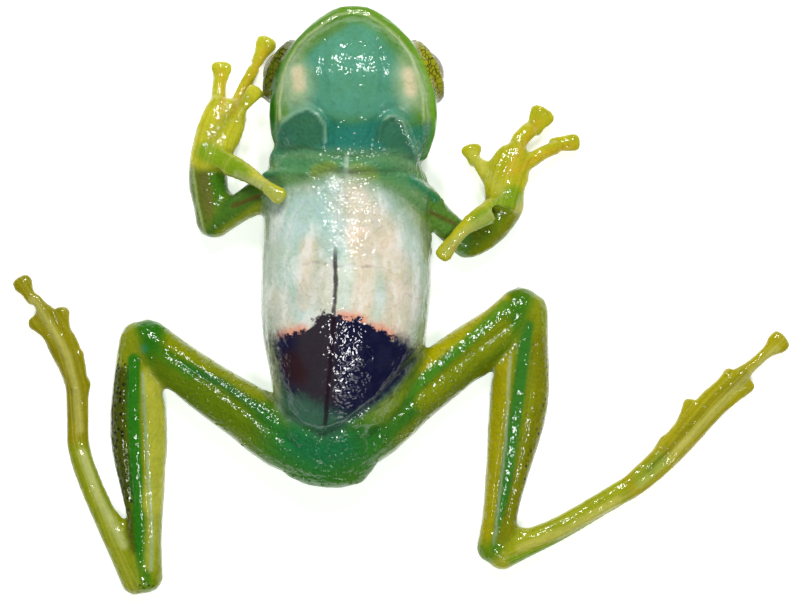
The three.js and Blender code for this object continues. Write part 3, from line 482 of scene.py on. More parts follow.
def paint_arms(paint):
    """Green, olive on the outside, with a brown line along the upper arm."""
    paint.part([f"upper_arm_{s}" for s in SIDES], "#4a7520")
    paint.part(["upper_arm_left"], "#5c8a34")
    paint.line(["upper_arm_right", "chest"], "#04805a", [(255, 177), (275, 172)], 2, 5, 0.6)
    paint.line(["upper_arm_left", "chest"], "#04805a", [(412, 178), (436, 199)], 1.5, 5, 0.7)
    paint.line(["upper_arm_right"], "#a3a81c", [(222, 236), (262, 208)], 3, 8, 0.7)
    paint.line(["upper_arm_left"], "#8fa51c", [(432, 238), (452, 246)], 3, 8, 0.6)
    paint.line(["upper_arm_right"], "#6b4a22", [(233, 206), (262, 195)], 0.8, 2.4, 0.75)
    paint.line(["upper_arm_left"], "#6b4a22", [(402, 198), (430, 212), (455, 224)], 0.8, 2.6, 0.7)
    paint.part([f"forearm_{s}" for s in SIDES], "#61790a")
    paint.lines(["forearm_right"],
        ("#3c7a18", [(214, 165), (222, 195), (226, 228)], 4, 8, 0.8),
        ("#6f6638", [(203, 176), (208, 205), (214, 228)], 3, 6, 0.6),
        ("#a9bb78", [(193, 170), (197, 200), (205, 235)], 0.4, 1.8, 0.8))
    paint.lines(["forearm_left"],
        ("#6f8408", [(505, 212), (488, 232), (468, 250)], 5, 9, 0.8),
        ("#8a8f06", [(520, 205), (505, 238), (480, 258)], 4, 7, 0.8))


def paint_hands(paint):
    """Clear yellow, deeper streaks along the fingers, green at the wrists."""
    right_hand, left_hand = ([f"hand_{side}"] + [f"finger_{n}_{side}" for n in FINGERS] for side in SIDES)
    paint.part(right_hand, "#c9c52c")
    paint.part(left_hand, "#bdb81e")
    paint.lines(right_hand,
        ("#649a12", [(206, 152), (222, 160), (240, 172)], 5, 10, 0.75),
        ("#d2ae22", [(219, 120), (224, 95), (221, 72)], 1.5, 4.5, 0.55),
        ("#d2ae22", [(232, 112), (248, 80), (266, 50)], 1.5, 4.5, 0.55),
        ("#9a9a26", [(212, 138), (232, 108), (246, 98)], 2, 6, 0.5),
        ("#a3b060", [(238, 176), (262, 186), (280, 198)], 2, 6, 0.7))
    paint.lines(left_hand,
        ("#649a12", [(482, 222), (498, 212), (512, 196)], 6, 10, 0.75),
        ("#d2ae22", [(508, 172), (520, 150), (538, 122)], 1.5, 4.5, 0.55),
        ("#d2ae22", [(514, 172), (542, 155), (572, 146)], 1.5, 4.5, 0.55),
        ("#c9c85c", [(500, 190), (484, 168), (473, 154)], 2, 6, 0.5),
        ("#e0a528", [(454, 249)], 1.5, 3, 0.8),
        ("#bcc06a", [(492, 214), (468, 230), (446, 252)], 2, 6, 0.6))


def paint_thighs(paint):
    """Yellow-green, with a deeper green stripe where the bone shows through, and the green hips and knees."""
    paint.part([f"thigh_{s}" for s in SIDES], "#637d02")
    right_thigh = ["thigh_right", "pelvis"]
    left_thigh = ["thigh_left", "pelvis"]
    paint.lines(right_thigh,
        ("#8c9400", [(165, 338), (215, 368), (262, 396)], 4, 8, 0.95),
        ("#1c6a2a", [(184, 366), (222, 383), (257, 407), (278, 427), (300, 448)], 1, 7, 0.85),
        ("#23701e", [(262, 412), (285, 432), (306, 452)], 5, 16, 0.6),
        ("#2f7a10", [(160, 352), (190, 372)], 3, 9, 0.6),
        ("#6a8404", [(170, 378), (215, 420), (262, 456)], 3, 9, 0.6))
    paint.lines(left_thigh,
        ("#b4ac00", [(422, 362), (458, 336), (500, 300)], 5, 9, 0.95),
        ("#2a7420", [(352, 446), (384, 428), (412, 408)], 6, 14, 0.8),
        ("#3c8a22", [(400, 402), (433, 371), (460, 348), (505, 305)], 2.5, 6, 0.75),
        ("#8a9408", [(424, 402), (464, 366), (504, 330)], 5, 9, 0.8),
        ("#758200", [(492, 368), (440, 404), (405, 438)], 3, 9, 0.7))
    hips = ["pelvis", "thigh_right", "thigh_left", "belly"]
    paint.lines(hips,
        ("#2b7a2a", [(292, 444), (320, 462), (356, 446)], 8, 46, 0.95),
        ("#14784c", [(300, 442), (320, 452), (340, 446)], 2, 26, 0.75))
    paint.pool(["belly", "pelvis", "thigh_left"], "#3a6456", GUT_REAR, 14, 0.8)
    paint.lines(["thigh_right", "shank_right"],
        ("#0f7008", [(150, 334), (138, 346), (134, 372)], 9, 14, 0.85),
        ("#1f8a6a", [(143, 349)], 2, 5, 0.6))
    paint.line(["thigh_left", "shank_left"], "#2f7a14", [(522, 306), (526, 336)], 6, 14, 0.75)


def paint_shanks(paint):
    """An olive band, the green bone, and cream muscle."""
    paint.part([f"shank_{s}" for s in SIDES], "#8a9410")
    paint.lines(["shank_right"],
        ("#454f02", [(121, 376), (117, 410), (119, 450), (124, 488)], 7, 6, 0.95),
        ("#454f02", [(122, 470), (127, 510), (133, 548)], 3, 6, 0.85),
        ("#1f7a12", [(134, 360), (133, 410), (136, 470), (141, 540), (144, 580)], 4.5, 4, 0.95),
        ("#bcbc40", [(152, 376), (157, 420), (156, 470), (153, 505)], 6, 8, 0.9),
        ("#b4b640", [(155, 480), (152, 530), (150, 566)], 2, 8, 0.8))
    tendon = [(143, 374), (145, 420), (149, 480), (152, 530), (151, 570)]
    paint.line(["shank_right"], "#9fbfa6", tendon, 0.5, 1.9, 0.6)
    paint.lines(["shank_left"],
        ("#a8a004", [(503, 360), (497, 420), (492, 480), (487, 540)], 5, 6, 0.9),
        ("#2f7c24", [(527, 326), (518, 400), (509, 460), (498, 548)], 4, 5, 0.95),
        ("#838400", [(541, 340), (541, 400), (530, 450), (515, 505), (504, 540)], 5, 6, 0.9),
        ("#b4c09a", [(510, 356), (506, 440), (499, 500), (494, 545)], 0.4, 1.8, 0.65))
    for side, heel in (("right", (142, 588)), ("left", (488, 556))):
        paint.line([f"shank_{side}", f"tarsus_{side}"], "#5c8a0c", [heel], 8, 14, 0.7)


def paint_feet(paint):
    """Clear yellow tarsi and the folded, webbed feet."""
    paint.part(["tarsus_left"], "#a3a918")
    paint.part(["tarsus_right"], "#909a12")
    paint.line(["tarsus_right"], "#c9cf8a", [(124, 545), (98, 496), (82, 452)], 1.5, 5, 0.7)
    paint.lines(["tarsus_left"],
        ("#c6c25a", [(520, 548), (570, 528), (618, 500)], 1.5, 5, 0.7),
        ("#5c9414", [(512, 560), (540, 552), (580, 536)], 2, 5, 0.7))
    right_foot, left_foot = ([f"foot_{side}", f"toe_4_{side}", f"tarsus_{side}"] for side in SIDES)
    paint.part(right_foot[:2], "#948c02")
    paint.part(left_foot[:2], "#aea40c")
    # The pale line (#c9c46c) along the right foot is a painted highlight on its folds
    paint.lines(right_foot,
        ("#c9c46c", [(80, 430), (76, 390), (68, 356), (50, 326), (32, 300)], 1.5, 4.5, 0.6),
        ("#857f0a", [(72, 420), (70, 385), (60, 360), (44, 338)], 1.2, 4, 0.6))
    # The pale line (#cbc66c) along the left foot is a painted highlight on its folds
    paint.lines(left_foot,
        ("#cbc66c", [(640, 484), (672, 455), (706, 420), (742, 382), (776, 350)], 1.5, 4.5, 0.6),
        ("#857f0a", [(650, 470), (684, 432), (712, 400), (745, 372)], 1.2, 4, 0.6),
        ("#7fa632", [(640, 478), (660, 462)], 4, 9, 0.5))


def paint_lids(paint, points):
    """The thin lower lids show the eye through them, with a blue-grey margin. Gives where they are."""
    lids = np.zeros(len(points))
    for side in SIDES:
        away = np.linalg.norm(points - np.array(eye_centre(side)), axis=1)
        lid = ramp(away, LID_REACH + LID_FADE, LID_REACH) * ramp(to_outline(paint.places, HEAD_OUTLINE), -1.5, 1.0)
        lid = lid * ramp(paint.facing, -0.55, -0.25) * paint.on(HEAD)
        paint.lay(lid, "#a3a11a" if side == "left" else "#626b0a")
        paint.lay(lid * ramp(paint.facing, 0.4, 0.05), "#5b6374")
        lids = lids + lid
    return lids


def skin_marks(points, normals, parts):
    """The colour of every point and the fields that the material's finer marks follow."""
    paint = Paint(points, normals, parts)
    places = paint.places
    edge = to_outline(places, BELLY)
    paint_head(paint)
    paint_neck_and_chest(paint)
    paint_belly(paint, edge)
    paint_arms(paint)
    paint_hands(paint)
    paint_thighs(paint)
    paint_shanks(paint)
    paint_feet(paint)
    lids = paint_lids(paint, points)

    # Painted light: every limb is clear at its margin. Where its skin turns side-on, it is painted lighter and
    # more yellow, as light shining through it from behind would show
    yellow = [n for n in parts if n.startswith(("hand", "finger", "foot", "toe", "tarsus"))]
    paint.lay(ramp(np.abs(paint.facing), 0.45, 0.0) * paint.on(yellow) * 0.5, "#b5a41c")
    green = [n for n in parts if n.startswith(("thigh", "shank", "upper_arm", "forearm"))]
    paint.lay(ramp(np.abs(paint.facing), 0.35, 0.0) * paint.on(green) * 0.4, "#8fae14")

    # The back is lime green; flanks run over into it
    back = ramp(paint.facing, 0.05, -0.45) * (1 - np.clip(lids, 0, 1))
    pale = paint.on([n for n in parts if n.startswith(("finger", "toe", "hand", "foot"))])
    paint.lay(back * (1 - 0.75 * np.clip(pale, 0, 1)) * 0.92, "#4f8f1f")

    behind_gut = to_outline(places, GUT_REAR)
    away = 40.0  # px: a distance at which no mark is drawn
    fields = {
        "back": back * (1 - 0.7 * np.clip(pale, 0, 1)),
        "lid": lids,
        "belly": ramp(edge, 2, -10) * paint.on(TRUNK) * (1 - back) * ramp(behind_gut, -2, 10),
        "gut": np.where(paint.facing > -0.2, to_outline(places, GUT), away) * PIXEL,
        "gut_salmon": np.clip(ramp(to_line(places, [(286, 334), (300, 331)]), 12, 3)
                              + ramp(to_line(places, [(344, 318), (360, 322)]), 12, 3)
                              + 0.8 * ramp(to_line(places, [(376, 328), (388, 334)]), 11, 3)
                              + 0.15 * ramp(places[:, 1], 352, 340), 0, 1),
        "gut_soft": np.clip(ramp(places[:, 1], 352, 378) + ramp(places[:, 0], 388, 402)
                            + ramp(places[:, 0], 290, 280), 0, 1),
        "gut_brown": ramp(to_line(places, [(318, 324), (314, 360), (318, 392)]), 30, 12),
        "midline": np.where(paint.facing > 0, to_line(places, MIDLINE), away) * PIXEL,
        "midline_dark": ramp(places[:, 1], 240, 262) * ramp(places[:, 1], 432, 420),
        "gut_red": ramp(to_line(places, [(291, 362), (297, 374)]), 18, 4),
        "fibre": sum(to_line(places, line) * paint.on(names) for names, line in FIBRES) * PIXEL,
        "fibrous": np.clip(paint.on(yellow), 0, 1),
        "granules": np.clip(paint.on(["pelvis"]) + 0.9 * paint.on(["thigh_right", "thigh_left"])
                            * ramp(np.abs(places[:, 0] - 330), 190, 110), 0, 1) * ramp(paint.facing, 0.15, 0.5),
        "specks": np.clip(
            ramp(to_line(places, [(118, 368), (114, 410), (118, 450), (126, 515)]), 12, 6)
            * paint.on(["shank_right"])
            + ramp(to_line(places, [(549, 350), (550, 395), (536, 445), (524, 480)]), 6, 2)
            * paint.on(["shank_left"])
            + 0.7 * ramp(to_line(places, [(145, 592)]), 16, 6) * paint.on(["shank_right", "tarsus_right"]), 0, 1),
        "granular": np.clip(paint.on(["pelvis", "chest", "neck"]) + 0.8 * paint.on(green)
                            + 0.5 * paint.on(["belly"]) + 0.35 * paint.on(yellow + HEAD), 0, 1),
    }
    return paint.colour, fields


def build_skin():
    nodes = {n: merged_node(n) for n in flesh_names()}
    closed = closed_up(nodes)
    points, faces, owner, start = [], [], [], 0
    for name, (_, node_faces) in nodes.items():
        points.append(closed[name])
        faces += (node_faces + start).tolist()
        owner += [name] * len(node_faces)
        start += len(closed[name])
    base_points, base_faces = np.vstack(points), list(faces)
    for side in SIDES:
        radius, thick, out = LID_RING
        axis = eye_axis(side)
        ring_points, ring_faces = ring_tube(eye_centre(side) + axis * out, axis, radius, thick)
        points.append(np.array([tuple(p) for p in ring_points]))
        faces += [[i + start for i in f] for f in ring_faces]
        start += len(ring_points)
    skin_points, skin_faces = remeshed(np.vstack(points), faces)
    edges = edges_of(skin_faces)

    # Which node each point belongs to, with soft borders
    tree = BVHTree.FromPolygons(base_points.tolist(), base_faces)
    names = flesh_names()
    index = {n: i for i, n in enumerate(names)}
    belongs = np.zeros((len(skin_points), len(names)))
    for i, p in enumerate(skin_points):
        belongs[i, index[owner[tree.find_nearest(Vector(p))[2]]]] = 1
    for _ in range(BLEND_PASSES):
        belongs = 0.5 * belongs + 0.5 * averaged(belongs, edges)
    parts = {n: belongs[:, index[n]] for n in names}
    slender = np.clip(sum(parts[n] for n in names if n.startswith(("finger", "toe", "foot"))), 0, 1)
    skin_points = smoothed(skin_points, edges, slender)
    skin_points[:, 2] = np.maximum(skin_points[:, 2], 0)
    skin_points = with_relief(skin_points, skin_faces, parts)

    piece = mesh_piece("skin", skin_points * MM, skin_faces)
    normals = np.empty(len(skin_points) * 3)
    piece.data.vertices.foreach_get("normal", normals)
    colour, fields = skin_marks(skin_points, normals.reshape(-1, 3), parts)
    tint = piece.data.attributes.new("tint", "FLOAT_COLOR", "POINT")
    tint.data.foreach_set("color", np.hstack([colour, np.ones((len(colour), 1))]).astype(np.float32).ravel())
    for name, values in fields.items():
        field = piece.data.attributes.new(name, "FLOAT", "POINT")
        field.data.foreach_set("value", np.asarray(values, np.float32))
    print("skin:", len(skin_points), "points", len(skin_faces), "faces")
    return piece


# Granules, set over the skin by a node tree

GRANULES = {"Spacing": 0.34 * MM, "Density": 9e6, "Radius": 0.1 * MM, "Seed": 5}


def granule_tree():
    """Round flat granules on a surface, as thick as its field called granules allows."""
    tree = bpy.data.node_groups.new("skin_granules", "GeometryNodeTree")
    for name, kind in (("Skin", "Geometry"), ("Spacing", "Float"), ("Density", "Float"),
                       ("Radius", "Float"), ("Seed", "Int"), ("Material", "Material")):
        tree.interface.new_socket(name, in_out="INPUT", socket_type="NodeSocket" + kind)
    tree.interface.new_socket("Granules", in_out="OUTPUT", socket_type="NodeSocketGeometry")
    given = add(tree, "NodeGroupInput").outputs
    share = add(tree, "GeometryNodeInputNamedAttribute", {"Name": "granules"},
                data_type="FLOAT").outputs["Attribute"]
    spots = add(tree, "GeometryNodeDistributePointsOnFaces", {
        "Mesh": given["Skin"], "Distance Min": given["Spacing"], "Density Max": given["Density"],
        "Density Factor": share, "Seed": given["Seed"]}, distribute_method="POISSON").outputs
    ball = add(tree, "GeometryNodeMeshIcoSphere", {"Radius": given["Radius"], "Subdivisions": 2}).outputs["Mesh"]
    size = add(tree, "FunctionNodeRandomValue", {2: 0.6, 3: 1.25, 8: given["Seed"]}, data_type="FLOAT").outputs[1]
    flat = add(tree, "ShaderNodeVectorMath", {0: (1.0, 1.0, 0.5), "Scale": size}, operation="SCALE").outputs[0]
    set_out = add(tree, "GeometryNodeInstanceOnPoints", {
        "Points": spots["Points"], "Instance": ball, "Rotation": spots["Rotation"], "Scale": flat}).outputs[0]
    real = add(tree, "GeometryNodeRealizeInstances", {"Geometry": set_out}).outputs[0]
    dressed = add(tree, "GeometryNodeSetMaterial", {"Geometry": real, "Material": given["Material"]}).outputs[0]
    add(tree, "NodeGroupOutput", {0: dressed})
    return tree


def build_granules(skin, material):
    source = bpy.data.objects.new("granule_source", skin.data)
    bpy.context.scene.collection.objects.link(source)
    scatter = source.modifiers.new("granules", "NODES")
    scatter.node_group = granule_tree()
    for item in scatter.node_group.interface.items_tree:
        if item.in_out == "INPUT" and item.name in GRANULES:
            scatter[item.identifier] = GRANULES[item.name]
        elif item.in_out == "INPUT" and item.name == "Material":
            scatter[item.identifier] = material
    shaped = source.evaluated_get(bpy.context.evaluated_depsgraph_get())
    mesh = bpy.data.meshes.new_from_object(shaped)
    mesh.shade_smooth()
    source.modifiers.clear()
    bpy.data.objects.remove(source)
    piece = bpy.data.objects.new("granules", mesh)
    bpy.context.scene.collection.objects.link(piece)
    print("granules:", len(mesh.polygons), "faces")
    return piece


# Eyes

def turned(points, centre, axis):
    """Points of a form whose axis is +Z, set at a centre with that axis turned to another."""
    turn = Vector((0, 0, 1)).rotation_difference(axis)
    return [(turn @ Vector(p) + centre) * MM for p in points]


def spun(profile, sides=72):
    """A closed form from (radius, height) pairs, pole to pole, about +Z."""
    points = [(0, 0, profile[0][1])]
    for radius, height in profile[1:-1]:
        for j in range(sides):
            a = 2 * math.pi * j / sides
            points.append((radius * math.cos(a), radius * math.sin(a), height))
    points.append((0, 0, profile[-1][1]))
    faces = []
    rows = len(profile) - 2
    at = lambda i, j: 1 + i * sides + j % sides
    for j in range(sides):
        faces.append((0, at(0, j + 1), at(0, j)))
        for i in range(rows - 1):
            faces.append((at(i, j), at(i, j + 1), at(i + 1, j + 1), at(i + 1, j)))
        faces.append((at(rows - 1, j), at(rows - 1, j + 1), len(points) - 1))
    return points, faces


def outward(piece):
    form = bmesh.new()
    form.from_mesh(piece.data)
    bmesh.ops.remove_doubles(form, verts=form.verts, dist=1e-7)
    bmesh.ops.recalc_face_normals(form, faces=form.faces)
    form.to_mesh(piece.data)
    form.free()
    piece.data.shade_smooth()


def build_eye(side):
    """The eyeball with a sunken iris, and the clear cornea over it."""
    centre, axis = eye_centre(side), eye_axis(side)
    opening = math.radians(IRIS_OPENING)
    ball_radius = EYE_RADIUS * BALL_SHARE
    ball = []
    for i in range(IRIS_RINGS + 1):
        share = i / IRIS_RINGS
        rise = EYE_RADIUS * IRIS_RISE * (1 - share ** 2)
        ball.append((ball_radius * math.sin(opening) * share, ball_radius * math.cos(opening) + rise))
    for i in range(1, BALL_RINGS + 1):
        angle = opening + (math.pi - opening) * i / BALL_RINGS
        ball.append((ball_radius * math.sin(angle), ball_radius * math.cos(angle)))
    points, faces = spun(ball)
    eyeball = mesh_piece(f"eyeball_{side}", turned(points, centre, axis), faces)
    clear = []
    for i in range(CORNEA_RINGS + 1):
        angle = math.pi * i / CORNEA_RINGS
        swell = 1 + CORNEA_SWELL * math.exp(-((angle / math.radians(CORNEA_SPREAD)) ** 2))
        clear.append((EYE_RADIUS * swell * math.sin(angle), EYE_RADIUS * swell * math.cos(angle)))
    points, faces = spun(clear)
    cornea = mesh_piece(f"cornea_{side}", turned(points, centre, axis), faces)
    for piece in (eyeball, cornea):
        outward(piece)
    return eyeball, cornea


# Materials

def add(tree, kind, inputs=None, **settings):
    """One node, with its settings and with its inputs linked or set."""
    made = tree.nodes.new(kind)
    for name, value in settings.items():
        setattr(made, name, value)
    for key, value in (inputs or {}).items():
        if isinstance(value, bpy.types.NodeSocket):
            tree.links.new(value, made.inputs[key])
        else:
            made.inputs[key].default_value = value
    return made


def new_material(name):
    material = bpy.data.materials.new(name)
    material.use_nodes = True
    tree = material.node_tree
    tree.nodes.clear()
    return material, tree


def shader(tree, **inputs):
    named = {key.replace("_", " "): value for key, value in inputs.items()}
    surface = add(tree, "ShaderNodeBsdfPrincipled", named)
    out = add(tree, "ShaderNodeOutputMaterial")
    tree.links.new(surface.outputs[0], out.inputs["Surface"])
    return surface


def rgba(code):
    return (*srgb(code), 1.0)


# The nodes that the materials use most: type, settings, inputs in order, and the output
KINDS = {
    "field": ("ShaderNodeAttribute", {}, (), "Fac"),
    "maths": ("ShaderNodeMath", {}, (0, 1), 0),
    "times": ("ShaderNodeMath", {"operation": "MULTIPLY"}, (0, 1), 0),
    "plus": ("ShaderNodeMath", {"operation": "ADD"}, (0, 1), 0),
    "minus": ("ShaderNodeMath", {"operation": "SUBTRACT"}, (0, 1), 0),
    "vectors": ("ShaderNodeVectorMath", {}, (0, 1), "Vector"),
    "along": ("ShaderNodeVectorMath", {"operation": "DOT_PRODUCT"}, (0, 1), "Value"),
    "noise": ("ShaderNodeTexNoise", {}, ("Vector", "Scale", "Detail", "Roughness"), 0),
    "cells": ("ShaderNodeTexVoronoi", {}, ("Vector", "Scale"), "Distance"),
    "cracks": ("ShaderNodeTexVoronoi", {"feature": "DISTANCE_TO_EDGE"}, ("Vector", "Scale"), "Distance"),
    "step": ("ShaderNodeMapRange", {"interpolation_type": "SMOOTHSTEP"},
             ("Value", "From Min", "From Max", "To Min", "To Max"), 0),
    "over": ("ShaderNodeMix", {"data_type": "RGBA"}, (0, 6, 7), 2),  # amount, under, top
}


def adder(tree):
    """A function that adds a node of KINDS to the tree, its inputs given in order, and gives its output."""
    def node(kind, *values, **settings):
        full_name, fixed, inputs, output = KINDS[kind]
        return add(tree, full_name, dict(zip(inputs, values)), **fixed, **settings).outputs[output]
    return node


def wash(node, under, code, strength, value, ends, place):
    """A thin layer of colour over another: none at the first end of the value, full at the second."""
    share = node("times", node("step", value, *ends), place)
    return node("over", node("times", share, strength), under, rgba(code))


def millimetres(tree):
    """Object coordinates with one unit to the millimetre."""
    place = add(tree, "ShaderNodeTexCoord").outputs["Object"]
    return add(tree, "ShaderNodeVectorMath", {0: place, "Scale": 1 / MM}, operation="SCALE").outputs[0]


def skin_material():
    """Wet living frog skin: thin and clear over coloured tissue, finely granular, with a film of water
    that breaks every highlight into sparkles. Pigment cells make dots, the gut and veins show through."""
    material, tree = new_material("wet_granular_frog_skin")
    node = adder(tree)
    mm = millimetres(tree)
    tint = add(tree, "ShaderNodeAttribute", attribute_name="tint").outputs["Color"]
    broad = node("noise", mm, 0.9, 4.0, 0.6)
    fine = node("noise", mm, 5.0, 3.0, 0.65)

    colour = node("over", node("step", broad, 0.3, 0.7, 0.0, 0.35), tint, rgba("#c8d6a0"),
                  blend_type="MULTIPLY")
    colour = node("over", node("step", fine, 0.45, 0.8, 0.0, 0.3), colour, rgba("#8f9f6a"),
                  blend_type="MULTIPLY")

    # Veins of the belly: cracks between cells about 2.4 mm across, bent by noise
    bend = add(tree, "ShaderNodeTexNoise", {"Vector": mm, "Scale": 0.7, "Detail": 3.0}).outputs["Color"]
    bent = node("vectors", mm, bend, operation="ADD")
    cracks = node("cracks", bent, 0.42)
    belly = node("field", attribute_name="belly")
    colour = wash(node, colour, "#a08a7c", 0.3, cracks, (0.016, 0.0), belly)

    # Silky streaks of the white lining, about three times as long as wide, towards the snout
    silk = node("vectors", bent, (1.0, 0.32, 1.0), operation="MULTIPLY")
    cloud = node("noise", silk, 1.5, 5.0, 0.55)
    colour = wash(node, colour, "#f4f6f0", 0.5, cloud, (0.46, 0.68), belly)
    colour = wash(node, colour, "#9fc0bb", 0.22, cloud, (0.48, 0.3), belly)

    # Fine fibres along the tarsi, the feet and the hands, about 0.15 mm apart
    across = node("times", node("field", attribute_name="fibre"), 7.0)
    fibre = add(tree, "ShaderNodeTexNoise", {"W": across, "Scale": 1.0, "Detail": 2.0},
                noise_dimensions="1D").outputs[0]
    fibrous = node("field", attribute_name="fibrous")
    colour = wash(node, colour, "#d6d06a", 0.22, fibre, (0.5, 0.68), fibrous)
    colour = wash(node, colour, "#7c7a06", 0.3, fibre, (0.46, 0.3), fibrous)

    # The dark line down the middle
    wander = node("noise", mm, 2.2, 3.0)
    swing = node("times", node("minus", wander, 0.5), 0.16)
    line = node("plus", node("field", attribute_name="midline"), swing)
    colour = wash(node, colour, "#7f8f8a", 0.35, line, (0.10, 0.02), belly)

    # The gut: near black, with a ragged salmon front edge
    ragged = node("noise", mm, 2.6, 5.0, 0.7)
    raggedness = node("times", node("minus", ragged, 0.5), 1.5)
    shore = node("plus", node("field", attribute_name="gut"), raggedness)
    colour = wash(node, colour, "#e88a68", 0.75, shore, (0.75, 0.1), node("field", attribute_name="gut_salmon"))
    gut_cloud = node("noise", mm, 1.1, 4.0)
    gut_colour = node("over", node("step", gut_cloud, 0.4, 0.62), rgba("#0a0d33"), rgba("#181a3a"))
    for name, strength, code in (("gut_brown", 0.85, "#352d33"), ("gut_red", 0.7, "#331512")):
        amount = node("times", node("field", attribute_name=name), strength)
        gut_colour = node("over", amount, gut_colour, rgba(code))
    hard_edge = node("step", shore, 0.12, -0.1)
    soft_edge = node("step", shore, 0.75, -0.3)
    in_gut = node("over", node("field", attribute_name="gut_soft"), hard_edge, soft_edge)
    colour = node("over", in_gut, colour, gut_colour)
    colour = wash(node, colour, "#200c1c", 0.85, line, (0.17, 0.06), node("field", attribute_name="midline_dark"))

    # Black pigment dots on the shank's band and the heel, 0.08 mm across
    dots = node("cells", mm, 3.4)
    colour = wash(node, colour, "#10140a", 0.9, dots, (0.4, 0.24), node("field", attribute_name="specks"))

    # The back: dark spots about 0.7 mm across and small pale ones between them
    back = node("field", attribute_name="back")
    spots = node("cells", mm, 0.55)
    colour = wash(node, colour, "#1d2b12", 0.85, spots, (0.24, 0.17), back)
    flecks = node("cells", mm, 0.95)
    colour = wash(node, colour, "#d9df8a", 0.8, flecks, (0.13, 0.08), back)

    # The eye's black net through the lower lid
    net = node("cracks", bent, 3.6)
    colour = wash(node, colour, "#17150a", 0.8, net, (0.12, 0.02), node("field", attribute_name="lid"))

    # Granules 0.2 mm across and finer wrinkles
    granules = add(tree, "ShaderNodeTexVoronoi", {"Vector": mm, "Scale": 4.6, "Smoothness": 0.6},
                   feature="SMOOTH_F1").outputs["Distance"]
    wrinkles = node("noise", mm, 3.2, 4.0, 0.6)
    raised = node("times", granules, node("times", node("field", attribute_name="granular"), -1.0))
    relief = node("plus", raised, node("times", wrinkles, 0.9))
    bump = add(tree, "ShaderNodeBump", {"Height": relief, "Strength": 1.0, "Distance": 0.06 * MM}).outputs[0]

    # The film of water lies smoother, in beads and puckers 0.25 to 0.6 mm across
    puckers = node("noise", mm, 1.9, 2.0, 0.5)
    beads = node("times", granules, node("times", node("field", attribute_name="granular"), -0.7))
    film = node("plus", beads, node("times", puckers, 1.8))
    film_bump = add(tree, "ShaderNodeBump", {"Height": film, "Strength": 1.0, "Distance": 0.05 * MM}).outputs[0]

    surface = shader(tree, Base_Color=colour, Roughness=0.5, IOR=1.38, Specular_IOR_Level=0.04,
                     Subsurface_Weight=0.35, Subsurface_Radius=(1.0, 1.2, 0.5), Subsurface_Scale=0.35 * MM,
                     Coat_Weight=1.0, Coat_Roughness=0.05, Coat_IOR=1.42, Normal=bump)
    tree.links.new(film_bump, surface.inputs["Coat Normal"])
    return material


def eye_material(side):
    """Living iris: olive gold with a black net and a flat dark pupil, then a blue-grey white of the eye."""
    material, tree = new_material(f"reticulated_iris_{side}")
    node = adder(tree)
    axis, centre = eye_axis(side), eye_centre(side)
    mm = millimetres(tree)
    local = node("vectors", mm, tuple(centre), operation="SUBTRACT")
    size = add(tree, "ShaderNodeVectorMath", {0: local}, operation="LENGTH").outputs["Value"]
    cosine = node("maths", node("along", local, tuple(axis)), size, operation="DIVIDE")
    net = node("cracks", local, 4.5)
    grain = node("noise", local, 7.0, 4.0)
    gold = node("over", node("step", grain, 0.35, 0.65), rgba("#7d7812"), rgba("#c0b43c"))
    iris = node("over", node("step", net, 0.09, 0.02, 0.0, 0.9), gold, rgba("#15130a"))
    rim = node("over", node("step", cosine, 0.5, 0.36), iris, rgba("#5d6472"))
    across = axis.cross(Vector((0, 0, 1))).normalized()
    upward = axis.cross(across).normalized()
    squares = []
    for way, half in zip((across, upward), PUPIL):
        share = node("maths", node("along", local, tuple(way)), half, operation="DIVIDE")
        size = node("maths", share, operation="ABSOLUTE")
        squares.append(node("maths", size, 2.0, operation="POWER"))
    reach = node("plus", *squares)
    front = node("step", cosine, 0.2, 0.3)
    pupil = node("times", node("step", reach, 1.08, 0.95), front)
    colour = node("over", pupil, rim, rgba("#050505"))
    shader(tree, Base_Color=colour, Roughness=0.35, IOR=1.4, Subsurface_Weight=0.1, Subsurface_Scale=0.2 * MM)
    return material


def cornea_material():
    """Clear wet cornea: smooth as glass, so that it shows the lights as sharp points."""
    material, tree = new_material("wet_clear_cornea")
    shader(tree, Base_Color=rgba("#f4f8f4"), Roughness=0.02, IOR=1.376, Transmission_Weight=1.0,
           Specular_IOR_Level=0.5)
    return material


def floor_material():
    """A pale smooth matt table top."""
    material, tree = new_material("matt_white_board")
    node = adder(tree)
    grain = add(tree, "ShaderNodeTexNoise", {"Vector": millimetres(tree), "Scale": 0.3, "Detail": 2.0}).outputs[0]
    colour = node("over", node("step", grain, 0.3, 0.7), rgba("#f4f4f3"), rgba("#f7f7f6"))
    surface = shader(tree, Base_Color=colour, Roughness=0.8, IOR=1.45, Emission_Color=rgba("#ffffff"))
    surface.inputs["Emission Strength"].default_value = FLOOR_GLOW
    return material


# Stage: a pale floor, two soft lamps beside the camera and an even sky

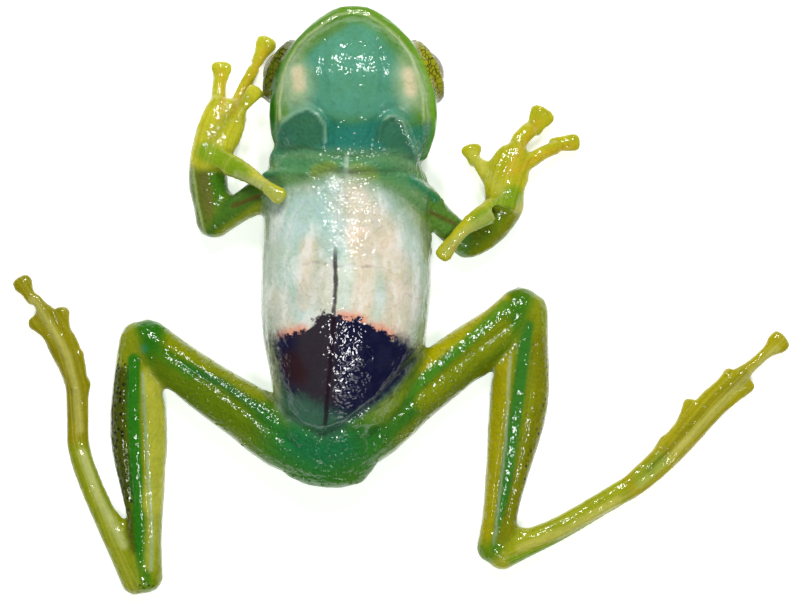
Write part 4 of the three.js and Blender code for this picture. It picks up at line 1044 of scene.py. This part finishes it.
FLOOR_HALF = 600  # mm
FLOOR_GLOW = 0.5
SKY = 0.11
LAMPS = [  # place in mm, width and height in mm, power in watts
    ((-36, 146, 172), (16, 70), 0.18),
    ((36, 140, 176), (16, 80), 0.18),
    ((-4, -74, 196), (24, 56), 0.155),
    ((30, -150, 160), (90, 40), 0.05),
]


def build_stage():
    size = FLOOR_HALF * MM
    corners = [(-size, -size, 0), (size, -size, 0), (size, size, 0), (-size, size, 0)]
    floor = mesh_piece("floor", corners, [(0, 1, 2, 3)])
    floor.data.materials.append(floor_material())
    for number, (place, (width, height), power) in enumerate(LAMPS):
        data = bpy.data.lights.new(f"lamp_{number}", "AREA")
        data.shape = "RECTANGLE"
        data.size, data.size_y = width * MM, height * MM
        data.energy = power
        lamp = bpy.data.objects.new(f"lamp_{number}", data)
        lamp.location = Vector(place) * MM
        lamp.rotation_euler = (-lamp.location).to_track_quat("-Z", "Y").to_euler()
        bpy.context.scene.collection.objects.link(lamp)
    world = bpy.data.worlds.new("even_sky")
    world.use_nodes = True
    world.node_tree.nodes["Background"].inputs[0].default_value = (1, 1, 1, 1)
    world.node_tree.nodes["Background"].inputs[1].default_value = SKY
    bpy.context.scene.world = world
    bpy.context.scene.view_settings.view_transform = "Standard"


def build_camera():
    data = bpy.data.cameras.new("camera")
    data.lens = LENS
    data.sensor_width = SENSOR
    data.clip_start, data.clip_end = 1 * MM, 5
    camera = bpy.data.objects.new("camera", data)
    camera.location = Vector(CAMERA_PLACE) * MM
    camera.rotation_mode = "QUATERNION"
    camera.rotation_quaternion = Quaternion((1, 0, 0, 0))
    bpy.context.scene.collection.objects.link(camera)
    bpy.context.scene.camera = camera


build_camera()
build_stage()

skin = build_skin()
wet_skin = skin_material()
skin.data.materials.append(wet_skin)
granules = build_granules(skin, wet_skin)
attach(granules, "root")
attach(skin, "root")
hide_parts(*flesh_names())

clear_cornea = cornea_material()
for side in SIDES:
    eyeball, cornea = build_eye(side)
    eyeball.data.materials.append(eye_material(side))
    cornea.data.materials.append(clear_cornea)
    for piece in (eyeball, cornea):
        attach(piece, "root")
    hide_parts(f"eye_{side}")
